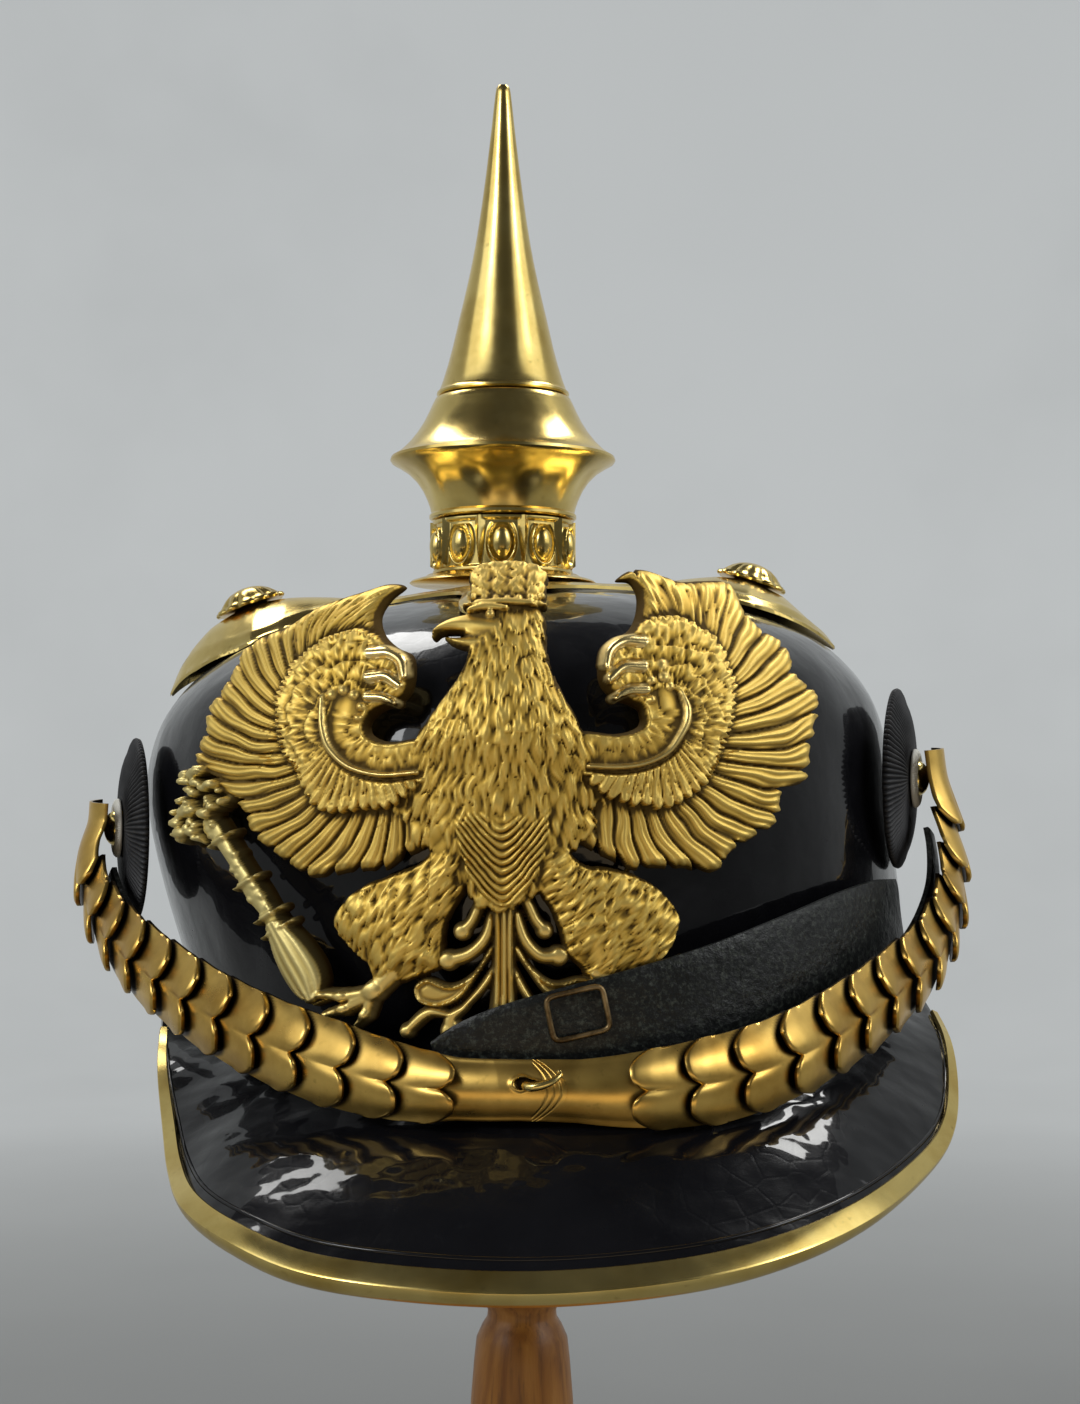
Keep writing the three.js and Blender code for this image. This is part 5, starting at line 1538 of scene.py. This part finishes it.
def make_clasp_plate(side_name, start, end, outs, rounded_end):
    """Half of the clasp, from start to end on the band; outs is how far it stands off at both."""
    rows, columns = (150, 71) if rounded_end else (60, 31)
    shares, sides = 1 - (1 - np.linspace(0, 1, rows)) ** 1.3, np.linspace(-1, 1, columns)
    share, side = np.meshgrid(shares, sides, indexing="ij")
    span = abs(end - start)
    pull = span * 0.16 * side**2 * share**3 if rounded_end else 0
    length = lerp(start, end, share) - np.sign(end - start) * pull
    under = lerp(*outs, np.minimum(1, share * 1.6)) + SCALE_ARCH * (1 - side**2)
    across = side * (band_width(MIDDLE + length) / 2 - 0.2)
    face = under + SCALE_WALL + 0.30 * bell(1 - np.abs(side), 0, 0.10)
    shade_and_grime = np.zeros(share.shape)
    if rounded_end:
        inward = (1 - share) * span
        for at in CLASP_CUTS:
            cut = bell(inward, at, 0.22) * (length > 3)
            face -= 0.16 * cut
            shade_and_grime = np.maximum(shade_and_grime, 0.55 * cut)
        widened = SLOT_HEIGHT * (1 + 0.25 * np.clip(SLOT_AT - length, -1, 1.5))
        oval = np.hypot((length - SLOT_AT) / SLOT_LENGTH, (across - SLOT_ACROSS) / widened)
        face += 0.3 * bell(oval, 1.15, 0.22)
        # painted shade: the slot is a shallow pit whose floor is painted dark
        hole = 1 - smoothstep(oval, 0.85, 1.05)
        face = lerp(face, under + 0.05, hole)
        shade_and_grime = np.maximum(shade_and_grime, hole)
    points, faces = plate_skin(*(band_point(MIDDLE + length, out, across) for out in (face, under)))
    shade_and_grime = {"shade_and_grime": np.concatenate([shade_and_grime.ravel(), np.zeros(shade_and_grime.size)])}
    name, node = f"clasp_plate_{side_name}", f"centre_plate_{side_name}"
    add_mesh(name, points, faces, [SCALE_BRASS], [node], 50, attributes=shade_and_grime)


HOOK_AT, HOOK_RADIUS = 3.5, 0.95
HOOK_LINE = [
    # along, across and out from its middle
    (-1.6, 1.2, -1.2), (
        -1.4, 1.0, 0.2,
    ), (-0.2, 0.9, 1.3), (2.2, 1.4, 1.5), (4.4, 2.4, 1.0), (5.4, 3.4, 0.2), (5.2, 4.0, -0.3),
]


def make_hook():
    at = np.array([MIDDLE + HOOK_AT])
    _, along, out, across = (way[0] for way in band_frame(at))
    origin = band_point(at, np.array([1.25 + SCALE_ARCH + SCALE_WALL + GAP + 0.7]), np.zeros(1))[0]
    path = Route(catmull(HOOK_LINE, 8))
    t = np.linspace(0, path.length, 40)
    tangent = path.tangent(t, 0.3)
    v = unit(np.cross(tangent, [0.0, 1.0, 0.0]))
    u = unit(np.cross(v, tangent))
    taper = (1 - 0.45 * smoothstep(t / path.length, 0.4, 1))[:, None]
    points, faces = sweep_profile(
        ellipse_points(HOOK_RADIUS, HOOK_RADIUS, 16), path.point(t), u * taper, v * taper,
    )
    add_mesh("clasp_hook", place(points, origin, along, across, out), faces, [BRASS], ["hook"], 60)


def make_backing():
    length = np.linspace(BACKING_START, BAND.length - BACKING_START, 220)[:, None]
    length, side = np.broadcast_arrays(length, np.linspace(-1, 1, 9)[None])
    across = side * BACKING_HALF_WIDTH
    top = band_point(length, BACKING_TOP + 0.24 * (1 - side**4), across)
    bottom = band_point(length, np.full(length.shape, BACKING_BOTTOM), across)
    points, faces = plate_skin(top, bottom)
    add_mesh("chin_backing_leather", points, faces, [STRAP], ["chin_backing"], 60)


# ------------------------------------------------------------------ loose strap
STRAP_LINE = [
    # turn, height, half width, standing off
    (
        -13, -57.5, 1.5, 0.5,
    ), (-10, -56.8, 4, 0.5), (-5, -55.6, 6.5, 0.6), (3, -53.5, 8.4, 0.8), (12, -50.5, 9.2, 1),
    (23, -46, 9.4, 1), (34, -41, 9.4, 0.6), (45, -36.5, 9.2, 0.2), (55, -34, 8.8, 0), (63, -33.5, 8, -0.4),
]
STRAP_HALF_WIDTH, STRAP_FRONT, STRAP_WALL = 98.6, 107.4, 1.5


def strap_point(share, side, extra=0.0):
    """A point of the strap, by how far along, how far across and how far off its middle it is."""
    rows = catmull(STRAP_LINE, 12)
    at = np.asarray(share) * (len(rows) - 1)
    turn, height, half, out = (np.interp(at, np.arange(len(rows)), column) for column in rows.T)
    z = height + side * half
    x = SHELL_X + RIM_SHIFT * np.clip(-z / WALL_DROP, 0, 1) ** 2
    x = x + (STRAP_HALF_WIDTH + out + extra) * np.sin(np.radians(turn))
    return xyz(x, -(STRAP_FRONT + out + extra) * np.cos(np.radians(turn)), SIGHT + z)


def make_strap():
    share, side = share_and_side(150, 17)
    rounding = 0.45 * (1 - np.abs(side) ** 6)
    wave = 0.28 * value_noise(share * 40, side * 1.5, 2.2, 8) * (1 - side**2)
    top = strap_point(share, side, STRAP_WALL / 2 - 0.45 + rounding + np.maximum(wave, -0.15))
    points, faces = plate_skin(top, strap_point(share, side, -STRAP_WALL / 2))
    add_mesh("loose_strap_leather", points, faces, [STRAP], ["loose_strap"], 60)


BUCKLE_AT, BUCKLE_SIDE = 0.36, 0.35  # its middle, along and across the strap
BUCKLE_HALF_WIDTH, BUCKLE_HALF_HEIGHT = 6.0, 4.6
BUCKLE_SQUARE = 0.28  # 1 is an oval, and less is squarer


def make_buckle():
    spot, before, after = (
        strap_point(np.array(BUCKLE_AT + d), np.array(BUCKLE_SIDE)) for d in (0, -0.06, 0.06)
    )
    out = unit(np.array([spot[0] / STRAP_HALF_WIDTH**2, spot[1] / STRAP_FRONT**2, 0]))
    along = across_to(after - before, out)
    steps = 64
    c, s = np.cos(circle(steps)), np.sin(circle(steps))
    cx = BUCKLE_HALF_WIDTH * np.sign(c) * np.abs(c) ** BUCKLE_SQUARE
    cy = BUCKLE_HALF_HEIGHT * np.sign(s) * np.abs(s) ** BUCKLE_SQUARE
    loop = xyz(cx, cy, np.zeros(steps))
    tangent = unit(np.roll(loop, -1, axis=0) - np.roll(loop, 1, axis=0))
    radial = xyz(tangent[:, 1], -tangent[:, 0], np.zeros(steps))
    section = np.array(ellipse_points(0.62, 0.6, 10)) + [0, 0.6]
    wide, high = section[None, :, :1], section[None, :, 1:]
    rings = loop[:, None] + wide * radial[:, None] + high * np.array([0, 0, 1.0])
    points = place(
        rings.reshape(-1, 3), spot + out * (STRAP_WALL / 2 + GAP + 0.3), along, np.cross(out, along), out,
    )
    faces = grid_faces(steps, len(section), True, True)
    add_mesh("strap_buckle_frame", points, faces, [BRONZE], ["strap_buckle"], 60)


# ------------------------------------------------------------------ cockades
COCKADE_TURN = radians(17)  # how far a cockade faces forwards
COCKADE_SEAT = radians(71.3)  # where it sits, from the brow
COCKADE_TOP = 4.55
PLEATS = 48
COCKADE_DOME = [
    # radius, height over the back, how much of the pleats shows
    (
        20.4, 0.1, 0.2,
    ), (21.2, 0.3, 0.7), (21.4, 0.9, 1), (21.1, 1.4, 1), (20.2, 1.9, 1), (18.8, 2.5, 1), (17.2, 3.2, 1),
    (15.6, 3.7, 1), (13.8, 4.1, 0.9), (12, 4.35, 0.7), (10.4, 4.5, 0.5), (8.4, 4.55, 0.3), (6, 4.55, 0.1),
]
RING_SECTION = [
    (4.7, 5.0), (4.75, 6.1), (5.1, 6.4), (5.8, 6.45), (6.5, 6.2), (7.0, 5.7), (7.1, 5.3), (6.9, 5.0),
]
BOSS = [
    (0, 4.95), (
        3.9, 4.95,
    ), (4.2, 5.2), (4.2, 6.3), (4.0, 6.8), (3.5, 7.5), (2.8, 8.05), (1.9, 8.4), (1.0, 8.6), (0, 8.65),
]


def cockade_frame(way, height):
    turn = way * COCKADE_SEAT
    face = np.array([way * cos(COCKADE_TURN), -sin(COCKADE_TURN), 0])
    wall = np.array([SHELL_X + SHELL_HALF_WIDTH * sin(turn), -SHELL_FRONT * cos(turn), SIGHT + height])
    up = np.array([0.0, 0.0, 1.0])
    return wall + face * 2.6, np.cross(up, face), up, face


def make_cockades():
    sides = 576
    a = circle(sides)
    pleat = np.abs(np.sin(a * PLEATS)) - 0.5

    def ring(radius, height):
        return xyz(radius * np.cos(a), radius * np.sin(a), height)

    disc = [np.array([[0, 0, 0.0]])]
    for r, z, share in COCKADE_DOME:
        reach = r + (0.8 * pleat * share if r > 19 else 0)
        disc.append(ring(reach, z + 0.6 * pleat * share * min(1, z)))
    disc = ring_skin([*disc, np.array([[0, 0, COCKADE_TOP]])])
    hoop = np.concatenate([ring(r, z + pleat * (0.25 if z > 5.2 else 0)) for r, z in RING_SECTION])
    hoop = hoop, grid_faces(len(RING_SECTION), sides, True, True)
    boss = ring_skin(turned_rings(BOSS, 64))
    for side, way, height in (("left", -1, -14), ("right", 1, -2)):
        for name, (points, faces), material, slot, node, sharp in (
            ("cockade_disc", disc, COCKADE, "cockade_fabric", "cockade", 75),
            ("cockade_white_ring", hoop, WHITE, "cockade_ring", "cockade_ring", 75),
            ("domed_boss", boss, BRASS, "brass", "boss", 50),
        ):
            placed = place(points, *cockade_frame(way, height))
            add_mesh(f"{name}_{side}", placed, faces, [material], [f"{node}_{side}"], sharp)


# ------------------------------------------------------------------ stand
STAND_BASE = [
    (0, 0), (77.4, 0), (78.6, 0.5), (79.6, 1.4), (80, 2.6), (80, 7.4), (79.5, 9), (
        78.4, 10.6,
    ), (76.8, 11.8), (74.6, 12.6),
    (72.6, 13), (71.8, 13.6), (70, 14.2), (60, 16), (46, 17.2), (30, 18), (0, 18),
]
STAND_POST = [
    (0, 18.35), (20, 18.35), (
        20.2, 19.4,
    ), (19.2, 20.8), (16.4, 23), (13.4, 25.6), (11.6, 28.4), (10.7, 31), (10.9, 33), (12.6, 35),
    (13.7, 36.6), (
        13.7, 38.2,
    ), (12.4, 40), (10.9, 41.6), (10.6, 44), (10.9, 50), (11.6, 60), (12.9, 74), (13.8, 88), (14.1, 100),
    (13.8, 114), (13.0, 130), (12.2, 140), (
        11.6, 145.4,
    ), (10.2, 148.6), (8.9, 150.6), (8.7, 152.4), (9.8, 155), (11.4, 158),
    (12.3, 161.4), (
        12.5, 164.6,
    ), (12, 168.8), (10.6, 173), (9.2, 176.2), (9.2, 179), (10.2, 188), (10.4, 210), (10.2, 240),
    (9.7, 268), (9.5, 280), (10, 287), (11.2, 291.6), (13.2, 296), (15, 299.6), (0, 299.6),
]
STAND_HEAD = [
    (0, 300), (23, 300), (25, 300.3), (33, 302.6), (41, 305.6), (45.4, 309), (47, 312.4), (47, 315.6), (
        45.4, 319.4,
    ), (42, 323),
    (37, 326), (30, 328.2), (22, 329.5), (12, 330.4), (0, 330.6),
]


def make_stand():
    for name, node, profile, sides in (
        ("turned_foot", "stand_base", STAND_BASE, 128),
        ("turned_column", "stand_post", STAND_POST, 72),
        ("turned_head", "stand_head", STAND_HEAD, 96),
    ):
        points, faces = ring_skin(turned_rings(profile, sides))
        add_mesh(name, points, faces, [WOOD], [node], 32)


# ------------------------------------------------------------------ studio
FLOOR_FLAT, FLOOR_CORNER = 1400, 700
WALL_GLOW = 0.43
DAYLIGHT, LAMPLIGHT, TABLE_GLOW = (0.97, 0.99, 1), (1, 1, 0.98), (1, 0.74, 0.42)
HELMET = (0, 0, 0.30)
LIGHTS = [
    # metres and watts: name, place, aim, width, height, power, colour
    ("left_window", (-1.05, -0.68, 0.95), HELMET, 1.3, 1.1, 4.6, DAYLIGHT),
    ("right_window", (1.18, -0.41, 0.95), HELMET, 1.3, 1.1, 4.6, DAYLIGHT),
    ("left_pane", (-0.85, -0.91, 1.00), HELMET, 0.32, 0.42, 4.2, DAYLIGHT),
    ("right_pane", (1.10, -0.59, 1.00), HELMET, 0.30, 0.40, 2.6, DAYLIGHT),
    ("left_lamp", (-0.42, 0.54, 1.28), HELMET, 0.44, 0.32, 3.6, LAMPLIGHT),
    ("right_lamp", (0.54, 0.40, 1.30), HELMET, 0.36, 0.30, 4.2, LAMPLIGHT),
    ("table_bounce", (0, -0.62, 0.03), (0, -0.10, 0.24), 0.8, 0.3, 0.6, TABLE_GLOW),
]
SKY = {"Color": (0.86, 0.9, 1.0, 1), "Strength": 0.06}


def backdrop_material():
    """Pale paper, lit on its own where it is far from the stand, and least on the viewer's side."""
    s = Shader("pale_backdrop", Roughness=0.95, Emission_Strength=WALL_GLOW)
    paper = s.ramp(s.noise(3, 3), [(0.3, (0.215, 0.218, 0.215)), (0.7, (0.245, 0.248, 0.245))])
    s.feed(s.sockets["Base Color"], paper)
    x, y, _ = s.node("SeparateXYZ", {0: s.where})
    far = s.maths("SQRT", s.maths("ADD", s.times(x, x), s.times(y, y)))
    away = s.maths("DIVIDE", s.maths("SUBTRACT", far, 0.35), 0.9, clamp=True)
    behind = s.maths("ADD", s.times(y, 0.28), 0.42, clamp=True)
    mottle = s.scaled(s.noise(2.2, 4, 0.6), 0.86, 1.14)
    glow = s.times(s.times(away, behind), mottle)
    s.feed(s.sockets["Emission Color"], s.mixed(glow, (0, 0, 0), (0.95, 0.99, 1.0)))
    return s.material


def make_stage():
    """A pale floor that sweeps up into a round wall."""
    profile = [(r, 0.0) for r in (0, 200, 400, 600, 1000, FLOOR_FLAT)]
    for a in np.radians(np.linspace(8, 90, 14)):
        profile.append((FLOOR_FLAT + FLOOR_CORNER * sin(a), FLOOR_CORNER * (1 - cos(a))))
    wall = FLOOR_FLAT + FLOOR_CORNER
    profile += [(wall, 1400), (wall, 2600)]
    points, faces = ring_skin(turned_rings([(r, z - 0.02) for r, z in profile], 96))
    mesh = bpy.data.meshes.new("studio_floor")
    mesh.from_pydata((points * MM).tolist(), [], faces)
    mesh.materials.append(backdrop_material())
    mesh.shade_smooth()
    floor = linked("studio_floor", mesh)


def make_lights():
    for name, spot, aim, width, height, power, colour in LIGHTS:
        data = bpy.data.lights.new(name, "AREA")
        data.shape = "RECTANGLE"
        data.size, data.size_y = width, height
        data.energy = power
        data.color = colour
        light = linked(name, data)
        light.location = Vector(spot)
        light.rotation_euler = (Vector(aim) - Vector(spot)).to_track_quat("-Z", "Y").to_euler()
        light.visible_camera = False
    world = bpy.data.worlds.new("studio")
    bpy.context.scene.world = world
    world.use_nodes = True
    for key, value in SKY.items():
        world.node_tree.nodes["Background"].inputs[key].default_value = value


CAMERA_X, CAMERA_Y = 0.0046, -0.540
CAMERA_LIFT = 1.86  # degrees above level
CAMERA_LENS, CAMERA_SENSOR = 53.7, 36


def make_camera():
    data = bpy.data.cameras.new("camera")
    data.sensor_width = CAMERA_SENSOR
    data.sensor_fit = "AUTO"
    data.lens = CAMERA_LENS
    data.clip_start = 0.01
    camera = linked("camera", data)
    camera.location = (CAMERA_X, CAMERA_Y, SIGHT * MM)
    camera.rotation_euler = (radians(90 + CAMERA_LIFT), 0, 0)
    bpy.context.scene.camera = camera


make_shell()
make_visor()
make_rear_visor()
make_cross()
make_studs()
make_spike()
make_pearl_band()
make_eagle()
make_scales()
make_clasp_plate("left", -26, 10, (0.1, 1.25), True)
make_clasp_plate("right", 35, -4, (0.3, 0.0), False)
make_hook()
make_backing()
make_strap()
make_buckle()
make_cockades()
make_stand()
make_stage()
make_lights()
make_camera()
bpy.context.scene.view_settings.view_transform = "Standard"
